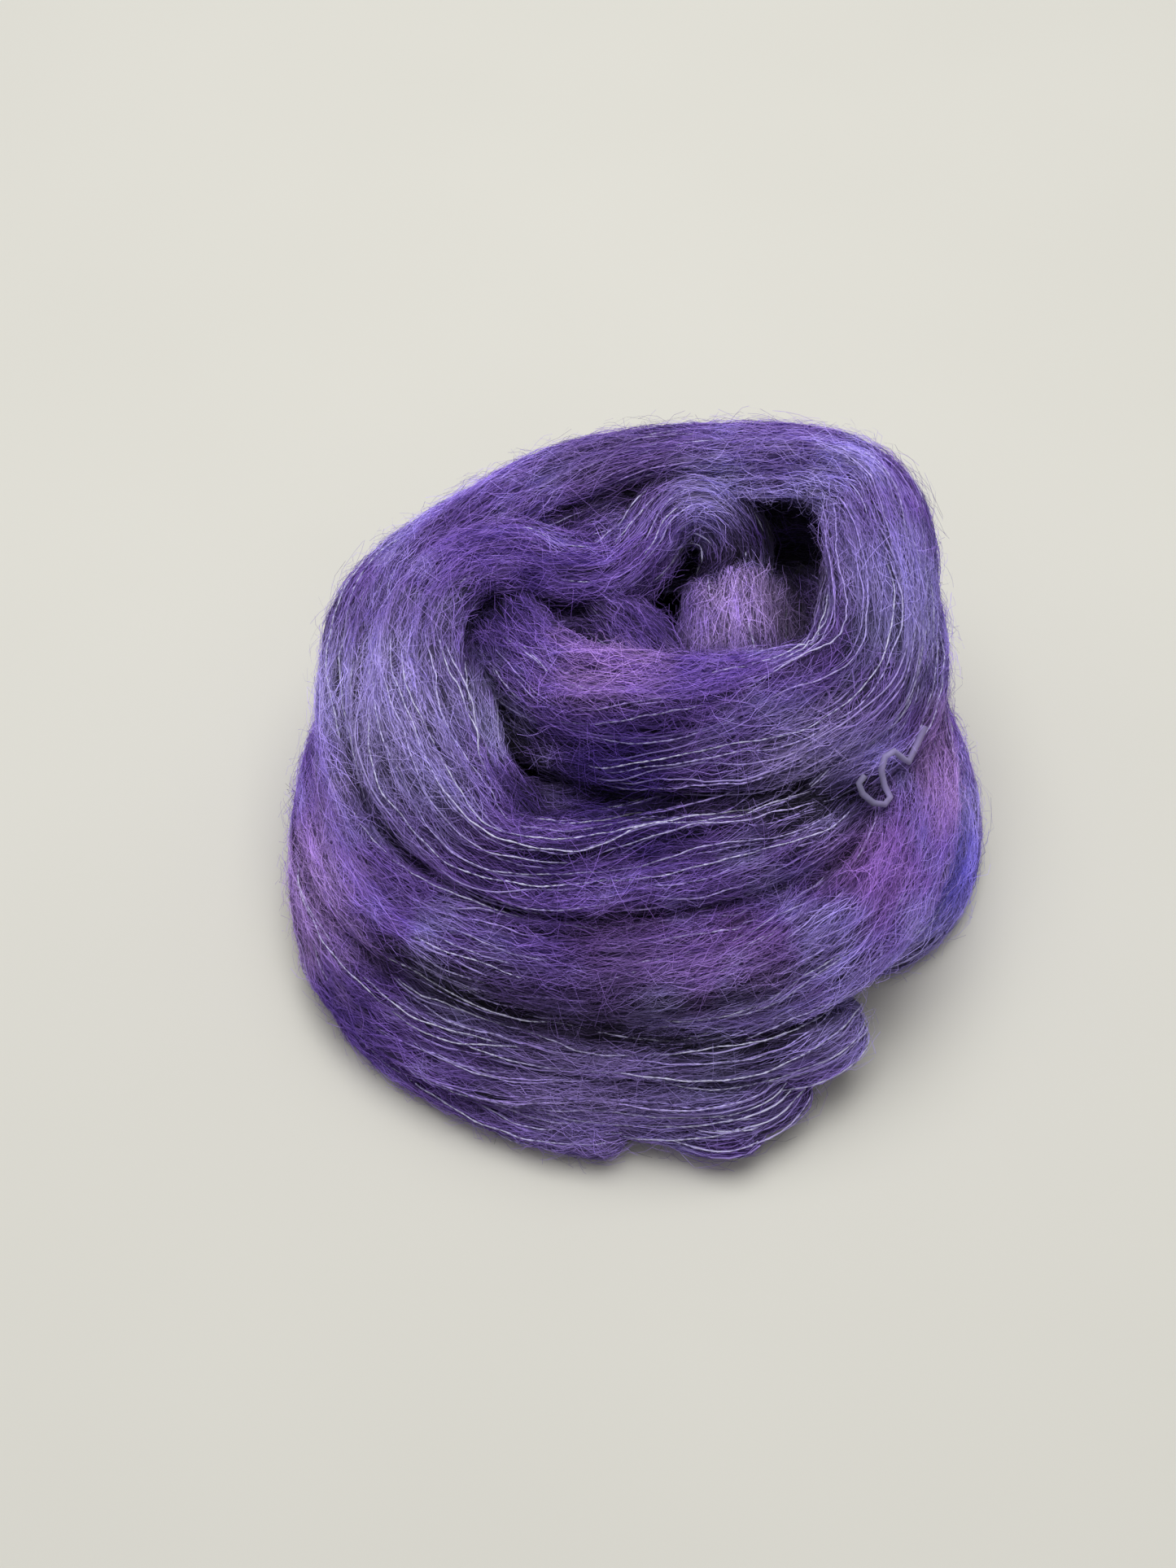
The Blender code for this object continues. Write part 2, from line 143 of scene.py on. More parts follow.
# The yarn behind the creases of the front slope.
BUNDLES["under_rim"] = [
    (-27, -7, 31, 8.5, 6.5, 20),
    (-12, -13.5, 33.5, 10, 7.5, 20),
    (5, -14.5, 36.5, 10, 7.5, 20),
    (22, -12, 38, 10, 7.5, 20),
    (36, -4, 37, 10, 7.5, 20),
    (44, 9, 36, 9, 7, 20),
]
BUNDLES["under_fold"] = [
    (-38, -11, 27, 9, 6, 20),
    (-23, -22, 28, 9, 6.5, 20),
    (-4, -28, 29.5, 9.5, 7, 20),
    (14, -27.5, 31.5, 9.5, 7, 20),
    (30, -20, 32, 9.5, 6.5, 20),
    (42, -7, 32, 9, 6, 20),
]

# The two bundles that wind round the middle of the slope: one ends on the right of the
# front, and the other starts under it and goes round the back.
BUNDLES["slope_left"] = [
    (-25, 51, 24, 8, 6, 50),
    (-44, 39, 23, 9.5, 7, 50),
    (-54, 22, 22, 9.5, 7.5, 48),
    (-56, 3, 21, 9.5, 7.5, 46),
    (-51, -15, 20, 9.5, 7, 44),
    (-39, -30, 20, 9, 6.5, 42),
    (-22, -41, 19, 9, 6, 42),
    (-3, -46, 18, 8.5, 6, 42),
    (16, -47, 17, 8.5, 6, 40),
    (31, -44, 15, 8, 5.5, 34),
    (37, -39.5, 13, 7.5, 5, 28),
]
BUNDLES["slope_right"] = [
    (26, -32, 18, 7, 6, 46),
    (41, -23, 19, 8.5, 7, 50),
    (51, -8, 20, 9.5, 7.5, 54),
    (54.5, 9, 21, 9.5, 7.5, 56),
    (52.5, 26, 22, 9.5, 7.5, 58),
    (46, 40, 24, 9.5, 7.5, 58),
    (30, 51, 25, 9.5, 7.5, 58),
    (11, 56, 25, 9.5, 7.5, 58),
    (-10, 56, 25, 9.5, 7.5, 56),
    (-28, 50, 25, 8.5, 6.5, 54),
]

# The bundles on the floor.
BUNDLES["base_left"] = [
    (-18, 56, 11, 8, 7, 44),
    (-39, 47, 11, 9, 7.5, 42),
    (-53, 31, 11, 9.5, 8, 40),
    (-58, 12, 11, 9.5, 8, 38),
    (-58, -8.5, 11, 9.5, 7.5, 36),
    (-51, -28, 11, 9, 7, 36),
    (-35, -42, 11, 9, 6.5, 36),
    (-14, -50, 10.5, 9, 6, 36),
    (7, -53, 10, 9, 6, 34),
    (20, -52.5, 9, 8.5, 5.5, 28),
    (26, -48.5, 8, 8, 5, 22),
]
BUNDLES["base_right"] = [
    (37, -18.5, 7, 8, 7, 24),
    (50, -12.5, 7, 9.5, 8, 30),
    (58, 1, 8, 10, 8.5, 36),
    (59, 17, 8.5, 10, 8.5, 40),
    (55, 33, 9, 10, 8.5, 44),
    (43, 47, 9.5, 10, 8.5, 46),
    (26, 56, 10, 10, 8.5, 46),
    (6, 59.5, 10, 10, 8.5, 46),
    (-14, 58, 10, 9.5, 8, 46),
    (-32, 51, 10, 9, 7.5, 44),
]
BUNDLES["floor_left"] = [
    (-44, 31, 5, 8, 6, 10),
    (-54, 12, 5, 8.5, 7, 10),
    (-54, -9, 5, 8.5, 7, 10),
    (-49, -30, 5, 8.5, 6.5, 12),
    (-35, -43.5, 5, 8, 6.5, 14),
    (-19, -52.5, 5, 7.5, 6.5, 16),
    (-6, -56.5, 4.5, 7, 6, 16),
]
BUNDLES["floor_front"] = [
    (-4, -43, 5, 8, 5.5, 0),
    (6, -51, 5, 8.5, 6.5, 6),
    (14, -55, 5, 8, 6.5, 10),
    (19, -55.5, 5, 7.5, 6.5, 10),
]

# The bundles inside the hollow: the saddle that comes up from its depth and goes under the
# front of the rim, the strand groups on both sides of it, and those behind and under it.
BUNDLES["saddle"] = [
    (23, 44, 34, 9, 6, 0),
    (22, 39, 40, 10.5, 8, 0),
    (21, 32, 44, 11, 9.5, 0),
    (20, 23, 44, 11, 10, 0),
    (19, 13, 43, 11, 8, 0),
]
BUNDLES["hollow_left"] = [
    (-8, 38, 41, 6, 6, 0),
    (-5, 31, 43, 7, 8, 8),
    (0, 23, 44, 7.5, 8, 8),
    (5, 13, 43, 8, 7, 0),
]
BUNDLES["hollow_right"] = [
    (30, 12, 40, 6, 6, 0),
    (36, 20, 42, 6.5, 6.5, 0),
    (38, 30, 42.5, 6.5, 6.5, 0),
    (35, 40, 41, 6, 6, 0),
]
BUNDLES["hollow_back"] = [
    (-30, 43.5, 48.5, 6, 5, 0),
    (-16, 46, 51.5, 7, 5, 0),
    (-3, 50, 53, 6.5, 5, 0),
]
BUNDLES["hollow_floor"] = [
    (-28, 23, 42.5, 9, 6, 0),
    (-19, 26, 42.5, 9.5, 6, 0),
    (-8, 26, 40.5, 9.5, 6, 0),
    (6, 25, 36.5, 9.5, 6, 0),
]

# The turns under the nest, which the solid has as its flat.
SOLE_MIDDLE = (1, 3)
SOLE_HEIGHT = 2.6
SOLE_HALF_THICK = 2.9
SOLE_POINTS = 16


def sole_turn(radius, half_width):
    """The stations of one flat ring of yarn under the nest."""
    x, y = SOLE_MIDDLE
    around = [TAU * k / SOLE_POINTS for k in range(SOLE_POINTS + 1)]
    return [
        (x + radius * math.cos(a), y + radius * math.sin(a), SOLE_HEIGHT,
         half_width, SOLE_HALF_THICK, 0)
        for a in around
    ]


BUNDLES["sole_outer"] = sole_turn(35.0, 14.0)
BUNDLES["sole_inner"] = sole_turn(12.0, 13.0)

# The tie thread, with its points chosen as in the solid.
TIE_DIAMETER = 1.2
TIE_SPACING = 2.6
TIE_ROUTE = [
    (52.9, 1.9, 48.6),
    (51.3, -1.0, 46.9),
    (49.6, -4.3, 46.0),
    (48.0, -4.8, 48.2),
    (46.5, -4.8, 50.1),
    (44.8, -5.8, 49.8),
    (44.2, -7.4, 47.8),
    (44.8, -9.2, 45.7),
    (45.9, -11.0, 44.4),
    (44.8, -12.6, 44.4),
    (42.6, -12.9, 45.3),
    (40.6, -11.8, 46.6),
    (39.9, -10.4, 47.9),
    (41.0, -9.2, 48.7),
]

# The bundles' sections: how finely they are lofted, their rounded ends, which close to a
# share of the section, and their twists.
RING_SPACING = 1.4
SIDE_LENGTH = 1.15
END_REACH = 5.2
END_RINGS = 6
END_TIP = 0.02
TWIST_RIDGES = 5
RIDGE_DEPTH = 0.11
TWIST_LENGTH = 420.0
SEAM_ANGLE = -math.pi / 2

# The locks of strands: waves round the section, with how many there are and how high, and
# the length along the bundle over which they drift. They drift again over a share of it, and
# the two drifts turn them by these parts of a radian.
Lock = namedtuple("Lock", "waves height drift")
LOCKS = [Lock(7, 0.34, 61.0), Lock(12, 0.34, 43.0), Lock(19, 0.26, 37.0)]
SECOND_DRIFT = 0.61
DRIFT_TURNS = (0.8, 0.5)

# What lies this deep under the solid's skin isn't made, and the wool stays this far above
# the floor.
BURIED = 2.4
THREAD_BURIED = 1.3
FLOOR_CLEARANCE = 0.25

# How open to the light a place is: the share of its rays that go this far and meet nothing.
# No fibre grows where it is closed, or on a face that points down, and painted shade makes
# the yarn darkest where it is least open. Bare yarn is darker than brushed yarn, and a crease,
# a place lower than what is round it, gets more painted shade.
RAY_COUNT = 14
RAY_REACH = 30.0
RAY_START = 0.7
RAY_SEED = 5
CLOSED = 0.06
DARK_OPENNESS = 0.20
LIGHT_OPENNESS = 0.66
DARKEST = 0.08
BARE_LIGHT = 0.68
COVER_LIMITS = (0.15, 0.6)
TIE_LIGHT = 0.75
SMOOTHINGS = 3
CREASE_REACH = 6.5
CREASE_DEPTHS = (0.0, 1.3)
CREASE_SHADE = 0.95
UNDERSIDE = -0.85

# Painted shade and light along routes, where the yarn is darker or lighter than its bundles
# alone make it: painted shade in the two narrow creases of the front slope, painted light on
# the bare threads of the fold's inner side, and painted shade on the hole's side and in the
# crease that the tie thread comes out of. Each route is followed in this many steps a point.
ROUTE_STEPS = 12
ShadingLine = namedtuple("ShadingLine", "reach change route")
SHADING_LINES = [
    ShadingLine(8.0, -0.78, [
        (-46, -31, 26), (-36, -37, 28), (-27, -41, 30), (-9, -45, 31), (8, -47, 31), (25, -42, 31),
    ]),
    ShadingLine(5.5, -0.95, [
        (-43, -33, 21), (-35, -39, 22.5), (-27, -43, 24.3), (-18, -45, 24.3), (-9, -47, 23.6),
        (1, -49, 22), (16, -50, 20.5), (27, -50, 19),
    ]),
    ShadingLine(9.0, 0.8, [(-30, 16, 49), (-28, 6, 46), (-26, -2, 44)]),
    ShadingLine(9.0, -0.8, [(26, 50, 54), (24, 45, 52), (19, 41, 50)]),
    ShadingLine(7.0, -0.9, [(26, -16, 45), (36, -13, 46.5), (44, -9, 46)]),
]

# The core threads of one kind: how far apart they lie, how thick and how flat the twisted
# thread is, the length of one twist, the step between its points, how high it rides, and
# how much it wanders.
Threads = namedtuple("Threads", "name spacing thickness flatness pitch step ride wander ripple seed")
SILK = Threads("silk_threads", 2.5, 0.40, 0.70, 3.6, 1.25, 0.85, 0.30, 0.07, 3)
CORE = Threads("core_threads", 2.9, 0.40, 0.72, 4.0, 1.8, 0.55, 0.34, 0.07, 4)

# A thread's look: the shade of its pale silk, how much of the silk shows where it is least
# and most bare, how light its dye is, and its sheen.
Look = namedtuple("Look", "pale share gain sheen")
SILK_LOOK = Look((0.74, 0.72, 1.0), (0.10, 1.0), 1.9, 0.4)
CORE_LOOK = Look((0.46, 0.40, 0.76), (0.1, 0.7), 1.5, 0.3)
TIE_LOOK = Look((0.40, 0.39, 0.56), (0.5, 0.9), 1.3, 0.3)

# How far the threads of a bundle swing together, over what length, and again over a share
# of it, with each one's part of the swing.
SWING = 1.3
SWING_LENGTH = 74.0
SECOND_SWING = 0.43
SWING_PARTS = (0.7, 0.3)

# A thread's own waves: the lengths of those to its sides and how far they are stretched, the
# middle one's part of the wander, and the height and length of those outward.
WANDER_LENGTHS = (41, 17, 6.5)
WANDER_STRETCH = (0.7, 1.4)
NARROW_WANDER = 0.4
RIDE_WAVES = ((0.28, 27), (0.10, 9))

# A thread starts this part of the end's reach from the tip, and lies this part of the space
# between two off its own place. It has more steps than this, and tapers at its ends.
END_MARGIN = 0.25
OFF_PLACE = 0.45
FEWEST_STEPS = 5
THREAD_TAPER = (14.0, 0.2)

# Where the yarn is brushed up so that its fibres hide the threads, and where it is bare: a
# place, a radius and an amount. A patch ends at this many of its radii.
PATCHES = [
    (-3, 10, 60, 24, 0.4),
    (-5, 58, 60, 42, 0.35),
    (-38, -28, 34, 18, 0.3),
    (5, -39, 36, 26, 0.4),
    (-58, 10, 30, 26, 0.2),
    (50, -14, 34, 22, 0.3),
    (-24, 24, 52, 14, 0.6),
    (-19, -8, 42, 11, 0.7),
    (-29, 8, 47, 14, -0.8),
    (-45, 2, 50, 16, -0.35),
    (0, -9, 49, 16, -0.45),
    (22, -9, 50, 20, -0.45),
    (-24, -26, 43, 16, -0.6),
    (0, -26, 44, 18, -0.6),
    (42, 10, 60, 20, -0.4),
    (-38, -40, 17, 14, -0.5),
    (-14, -50, 18, 17, -0.6),
    (14, -53, 15, 17, -0.6),
    (12, 48, 58, 16, -0.3),
]
PATCH_EDGE = 1.3

# How brushed the rest is, how much and over what lengths that varies, how much the waves
# bend, and how far the threads sink under it.
BRUSHED = 0.6
BRUSHED_SWING = 0.28
BRUSHED_LENGTHS = (9, 14, 11)
BRUSHED_BEND = 1.7
BRUSHED_SINK = 1.3

# The fibres of one kind: how many to a square metre, their length and width, how high they
# stand in the middle and at the free end, how far they stray from the strands' run, how
# much they curl, how many points each has, how bare they leave the gaps between strands
# and the unbrushed patches, and how light they are, the lower coats darker as painted
# shade under the upper ones.
Fibres = namedtuple(
    "Fibres", "name density length width bow rise stray curl points gaps patchy gain seed"
)
FIBRES = [
    Fibres("undercoat_low", 850000, 13.0, 0.16, 0.4, 0.05, 0.18, 0.5, 4, 0.85, 0.0, 1.18, 11),
    Fibres("undercoat_high", 840000, 11.0, 0.11, 0.85, 0.3, 0.5, 1.0, 4, 0.7, 0.4, 1.57, 17),
    Fibres("topcoat", 670000, 9.0, 0.06, 1.3, 0.9, 1.25, 1.5, 5, 0.0, 1.0, 1.88, 23),
    Fibres("halo", 400000, 7.5, 0.045, 1.2, 3.6, 1.6, 1.5, 5, 0.0, 0.2, 1.88, 37),
]

# A fibre's own part of its kind's length and height, and how brushed the yarn is where none
# is left out. Along it: how far its wave goes, how late it rises, and what its tip loses.
REACH_LIMITS = (0.35, 1.3)
LIFT_LIMITS = (0.15, 1.0)
WELL_BRUSHED = 0.9
FIBRE_WAVE = 5.5
RISE_POWER = 1.4
TIP_LOSS = 0.6

# The values that the fibres' tree keeps for its own use.
SPARE_VALUES = ("root", "fibre", "reach", "aim", "phase", "lift", "along", "found")

# The wool surface's map runs along the strands and round them, with a gap between bundles.
# The streaks of strands are this long and this wide on it, with darker gaps between strands
# that are partly painted shade. They make this share of a fibre's lightness, and their noise
# goes from dark to light between these limits.
SURFACE_MAP = "yarn_run"
MAP_GAP = 5.0
STREAK_LENGTH = 26.0
STREAK_WIDTH = 2.3
STREAK_SHARE = 0.62
STREAK_LIMITS = (0.33, 0.67)

# The photograph's view: a lens of 50 mm at 55 degrees above the surface.
LENS = 50.0
SENSOR = 36.0
LOOK_AT = (-9.0, 2.0, 30.0)
CAMERA_PLACE = (-9.0, -236.0, 370.0)

# The studio: the floor's half width, its two shades and how finely they are mixed, the soft
# light from all round, at the horizon and overhead, and the window's place, size and watts.
FLOOR_HALF_WIDTH = 2.5
PAPER_SHADES = ((0.69, 0.68, 0.62, 1.0), (0.73, 0.72, 0.66, 1.0))
PAPER_SCALE = 9.0
PAPER_ROUGHNESS = 0.9
PAPER_SPECULAR = 0.15
SKY_SHADES = ((0.17, 0.17, 0.175, 1.0), (0.40, 0.395, 0.385, 1.0))
WINDOW_PLACE = (-20, 200, 900)
WINDOW_AIM = (0, 0, 30)
WINDOW_SIZE = 800
WINDOW_POWER = 7.6

# The dye: its main shades with their places on its ramp, the scales of its broad and fine
# changes, how much the fine one and a strand's own shade add to the broad one, how dark and
# how light the strands and fibres are, and how light the wool under them is, kept dark as
# painted shade between the strands.
DEEP_VIOLET = (0.070, 0.034, 0.215)
PURPLE = (0.200, 0.110, 0.440)
LAVENDER = (0.330, 0.270, 0.620)
SHADE_STOPS = (0.58, 0.76, 1.0)
DYE_SCALES = (24.0, 110.0)
FINE_PART = 0.45
OWN_PART = 0.16
LIGHTNESS = (0.24, 1.62)
WOOL_GAIN = 0.36

# The soft surfaces: the wool's, the threads' and the fibres' roughness and sheen, and how
# strong and how deep the bumps of the strands and of a thread's slubs are.
WOOL_ROUGHNESS = 0.95
THREAD_ROUGHNESS = 0.6
FIBRE_ROUGHNESS = 0.75
WOOL_SHEEN = 0.08
FIBRE_SHEEN = 0.1
SHEEN_ROUGHNESS = 0.5
SHEEN_TINT = (0.78, 0.70, 1.0, 1.0)
YARN_SPECULAR = 0.18
STRAND_BUMP = (0.8, 0.6 * MM)
SLUB_BUMP = (0.5, 0.2 * MM)

# Where a thread's silk is pale: the scales of its slubs and of the pale patches, how much
# more there is by the thread's own shade and by how brushed the place is, and the range.
SLUB_SCALE = 420.0
PALE_SCALE = 34.0
PALE_BY_SHADE = 0.7
PALE_BY_BRUSHED = -0.35
PALE_START = 0.05
PALE_RANGE = (0.5, 1.0)

# Spots of another colour: a place, a radius, a colour and a strength. Most are dips that left
# another shade of dye, and the dark spots marked below are painted shade. Each is full up to
# this part of its radius, and the strand's own shade and the dye's fine changes make its edge
# ragged.
SPOT_MIDDLE = 0.25
RAGGED_BY_SHADE = 0.35
RAGGED_BY_DYE = (1.3, 0.2)
DYE_DIPS_AND_SHADE_SPOTS = [
    (-49, 8, 48, 28, (0.40, 0.34, 0.68), 0.75),
    (50, 22, 58, 24, (0.34, 0.30, 0.64), 0.7),
    (62, -8, 16, 20, (0.15, 0.12, 0.52), 0.9),
    (58, 0, 38, 18, (0.40, 0.24, 0.56), 0.8),
    (13, 51, 58, 13, (0.46, 0.39, 0.82), 0.85),
    (22, 28, 53, 17, (0.52, 0.36, 0.76), 0.8),
    (-60, -12, 16, 26, (0.44, 0.28, 0.64), 0.8),
    (-58, 18, 40, 16, (0.40, 0.34, 0.68), 0.7),
    (-6, 9, 61, 18, (0.38, 0.22, 0.58), 0.8),
    (-10, -54, 13, 26, (0.32, 0.25, 0.54), 0.6),
    # This spot is painted shade under the front of the rim.
    (-3, -7, 47, 19, (0.065, 0.03, 0.26), 0.85),
    (-28, 4, 46, 10, (0.42, 0.38, 0.72), 0.6),
    (32, -9, 50, 18, (0.38, 0.31, 0.62), 0.6),
    # This spot is painted shade on the front slope under the rim.
    (-4, -39, 36, 15, (0.12, 0.06, 0.22), 0.8),
    (10, -41, 36, 13, (0.20, 0.10, 0.36), 0.85),
    (20, -38, 33, 12, (0.20, 0.095, 0.34), 0.7),
    (-3, 59, 63, 26, (0.16, 0.095, 0.31), 0.75),
    (43, -21, 38, 16, (0.23, 0.10, 0.37), 0.75),
    # These two are painted shade in the hole.
    (34, 44, 50, 13, (0.03, 0.015, 0.10), 0.8),
    (26, 46, 52, 12, (0.055, 0.02, 0.18), 0.9),
    (27, 58, 63, 16, (0.19, 0.11, 0.38), 0.75),
    # These two are painted shade in creases: where the tie thread comes out, and at the low end of the
    # fold's inner side.
    (38, -12, 46, 9, (0.04, 0.02, 0.13), 0.8),
    (-21, -9, 42, 9, (0.05, 0.025, 0.15), 0.8),
]


def smooth_rows(rows, spacing):
    """Rows of numbers about spacing apart on one smooth curve through the given ones."""
    made = []
    last = len(rows) - 1
    for i in range(last):
        before, here = rows[max(i - 1, 0)], rows[i]
        there, after = rows[i + 1], rows[min(i + 2, last)]
        steps = max(1, round(math.dist(here[:3], there[:3]) / spacing))
        for k in range(steps):
            t = k / steps
            made.append([
                0.5 * (2 * b + (c - a) * t + (2 * a - 5 * b + 4 * c - d) * t**2
                       + (3 * b - a - 3 * c + d) * t**3)
                for a, b, c, d in zip(before, here, there, after)
            ])
    made.append(list(rows[-1]))
    return made


def capped(values, reach=None, ahead=None):
    """The rows with copies of the first and last for the rounded ends, moved out by reach."""
    first = np.repeat(values[:1], END_RINGS, axis=0)
    final = np.repeat(values[-1:], END_RINGS, axis=0)
    if reach is not None:
        first = first - ahead[:1] * reach[::-1, None]
        final = final + ahead[-1:] * reach[:, None]
    return np.concatenate((first, values, final))


class Loft:
    """A bundle's surface: a place on it for each length along it and angle round it."""

    def __init__(self, name, stations, map_start):
        rows = np.array(smooth_rows(stations, RING_SPACING))
        rng = np.random.default_rng(sum(map(ord, name)))
        self.phases = rng.uniform(0, TAU, (len(LOCKS), 3))
        self.swing_phases = rng.uniform(0, TAU, 4)
        middle, sizes = rows[:, :3], rows[:, 3:5]
        ahead = np.gradient(middle, axis=0)
        ahead /= np.linalg.norm(ahead, axis=1)[:, None]
        level = np.cross(ahead, (0.0, 0.0, 1.0))
        level /= np.linalg.norm(level, axis=1)[:, None]
        upward = np.cross(level, ahead)
        roll = np.radians(rows[:, 5])[:, None]
        steps = np.linalg.norm(np.diff(middle, axis=0), axis=1)
        run = np.concatenate(([0.0], np.cumsum(steps)))
        bend = np.linspace(0, math.pi / 2, END_RINGS + 1)[1:]
        reach, shrink = END_REACH * np.sin(bend), np.maximum(np.cos(bend), END_TIP)
        self.middle = capped(middle, reach, ahead)
        self.across = capped(level * np.cos(roll) - upward * np.sin(roll))
        self.through = capped(level * np.sin(roll) + upward * np.cos(roll))
        self.sizes = capped(sizes)
        self.scale = np.concatenate((shrink[::-1], np.ones(len(rows)), shrink))
        self.run = np.concatenate((-reach[::-1], run, run[-1] + reach)) + END_REACH
        self.length = self.run[-1]
        self.radius = float(sizes.mean())
        self.map_start = map_start + (self.turn(self.length) - SEAM_ANGLE) * self.radius
        self.map_end = self.map_start + (TAU + SEAM_ANGLE) * self.radius

    def turn(self, run):
        return TAU * run / TWIST_LENGTH

    def swing(self, run, strand):
        """How far the strands of the bundle wander together, in millimetres."""
        a, b, c, d = self.swing_phases
        most, rest = SWING_PARTS
        wide = np.sin(TAU * run / SWING_LENGTH + 2 * np.sin(strand + a) + b)
        narrow = np.sin(TAU * run / (SWING_LENGTH * SECOND_SWING) + 3 * np.sin(2 * strand + c) + d)
        return SWING * (most * wide + rest * narrow)

    def relief(self, strand, run):
        """How far the main twists and the locks of strands lift the surface."""
        ridge = RIDGE_DEPTH * (np.cos(TWIST_RIDGES * strand) - 0.5)
        locks = 0.0
        turn, second_turn = DRIFT_TURNS
        for lock, phase in zip(LOCKS, self.phases):
            drift = turn * np.sin(TAU * run / lock.drift + phase[0])
            second = TAU * run / (lock.drift * SECOND_DRIFT) + phase[1]
            drift = drift + second_turn * np.sin(second)
            locks = locks + lock.height * np.cos(lock.waves * strand + phase[2] + drift)
        return ridge, locks

    def places(self, run, strand):
        """Points and outward directions, in metres, for lengths in millimetres and angles."""
        angle = strand + self.turn(run)

        def at(rows):
            return np.stack([np.interp(run, self.run, column) for column in rows.T], axis=-1)

        middle, across, through, sizes = map(at, (self.middle, self.across, self.through, self.sizes))
        scale = np.interp(run, self.run, self.scale)
        ridge, locks = self.relief(strand, run)
        reach = scale * (1 + ridge + locks / self.radius)
        wide = across * (sizes[..., 0] * reach * np.cos(angle))[..., None]
        thick = through * (sizes[..., 1] * reach * np.sin(angle))[..., None]
        point = middle + wide + thick
        outward = across * (np.cos(angle) / sizes[..., 0])[..., None]
        outward = outward + through * (np.sin(angle) / sizes[..., 1])[..., None]
        outward /= np.linalg.norm(outward, axis=-1)[..., None]
        point[..., 2] = np.maximum(point[..., 2], FLOOR_CLEARANCE)
        return point * MM, outward


def brushed(points):
    """How much the fibres cover the threads at each point given in metres, from 0 to 1."""
    places = points / MM
    x, y, z = places.T
    a, b, c = BRUSHED_LENGTHS
    share = BRUSHED + BRUSHED_SWING * np.sin(x / a + BRUSHED_BEND * np.sin(y / b) + z / c)
    for *centre, radius, amount in PATCHES:
        apart = np.linalg.norm(places - centre, axis=1)
        share = share + amount * np.clip(PATCH_EDGE - apart / radius, 0, 1)
    return np.clip(share, 0, 1)


def mesh_tree(data):
    """A search tree of a mesh's faces."""
    return BVHTree.FromPolygons(
        [v.co for v in data.vertices], [tuple(p.vertices) for p in data.polygons]
    )


def depth_under(skin, points):
    """How deep each point lies under the solid's skin, in millimetres."""
    depths = np.empty(len(points))
    for i, point in enumerate(map(Vector, points)):
        place, normal, _, _ = skin.find_nearest(point)
        depths[i] = -(point - place).dot(normal) / MM
    return depths


def openness(tree, points, normals):
    """The share of the rays from each point that reach the light."""
    rng = np.random.default_rng(RAY_SEED)
    around = rng.uniform(0, TAU, (len(points), RAY_COUNT))
    lean = np.sqrt(rng.uniform(0, 1, (len(points), RAY_COUNT)))
    helper = np.where(np.abs(normals[:, 2:]) < 0.9, (0.0, 0.0, 1.0), (1.0, 0.0, 0.0))
    side = np.cross(normals, helper)
    side /= np.linalg.norm(side, axis=1)[:, None]
    other = np.cross(normals, side)
    rays = (side[:, None] * (lean * np.cos(around))[..., None]
            + other[:, None] * (lean * np.sin(around))[..., None]
            + normals[:, None] * np.sqrt(1 - lean**2)[..., None])
    starts = points + normals * (RAY_START * MM)
    shares = np.empty(len(points))
    for i in range(len(points)):
        start = Vector(starts[i])
        free = sum(tree.ray_cast(start, Vector(ray), RAY_REACH * MM)[0] is None for ray in rays[i])
        shares[i] = free / RAY_COUNT
    return shares


def crease(points, normals):
    """How deep each point lies in a crease, from 0 on a round to 1 between two bundles; it sets the
    painted shade in creases.
    """
    near = KDTree(len(points))
    for i, point in enumerate(points):
        near.insert(point, i)
    near.balance()
    hollows = np.empty(len(points))
    for i, point in enumerate(points):
        around = [j for _, j, _ in near.find_range(point, CREASE_REACH * MM)]
        hollows[i] = (points[around].mean(axis=0) - point) @ normals[i]
    low, high = CREASE_DEPTHS
    return np.clip((hollows / MM - low) / (high - low), 0, 1)


def painted_shading(points):
    """What the painted shading lines multiply the openness by at each point."""
    share = np.ones(len(points))
    for shading_line in SHADING_LINES:
        route = np.array(shading_line.route, dtype=float) * MM
        steps = np.linspace(0, len(route) - 1, ROUTE_STEPS * len(route))
        line = np.stack([np.interp(steps, range(len(route)), axis) for axis in route.T], axis=-1)
        apart = np.linalg.norm(points[:, None] - line[None], axis=-1).min(axis=1)
        near = np.clip(1 - apart / (shading_line.reach * MM), 0, 1)
        share *= 1 + shading_line.change * near * near * (3 - 2 * near)
    return share


def keep_values(data, name, values):
    """Keeps one number for each point of a mesh, for its materials and trees."""
    data.attributes.new(name, "FLOAT", "POINT").data.foreach_set("value", values)


def show(name, data):
    made = bpy.data.objects.new(name, data)
    bpy.context.scene.collection.objects.link(made)
    return made


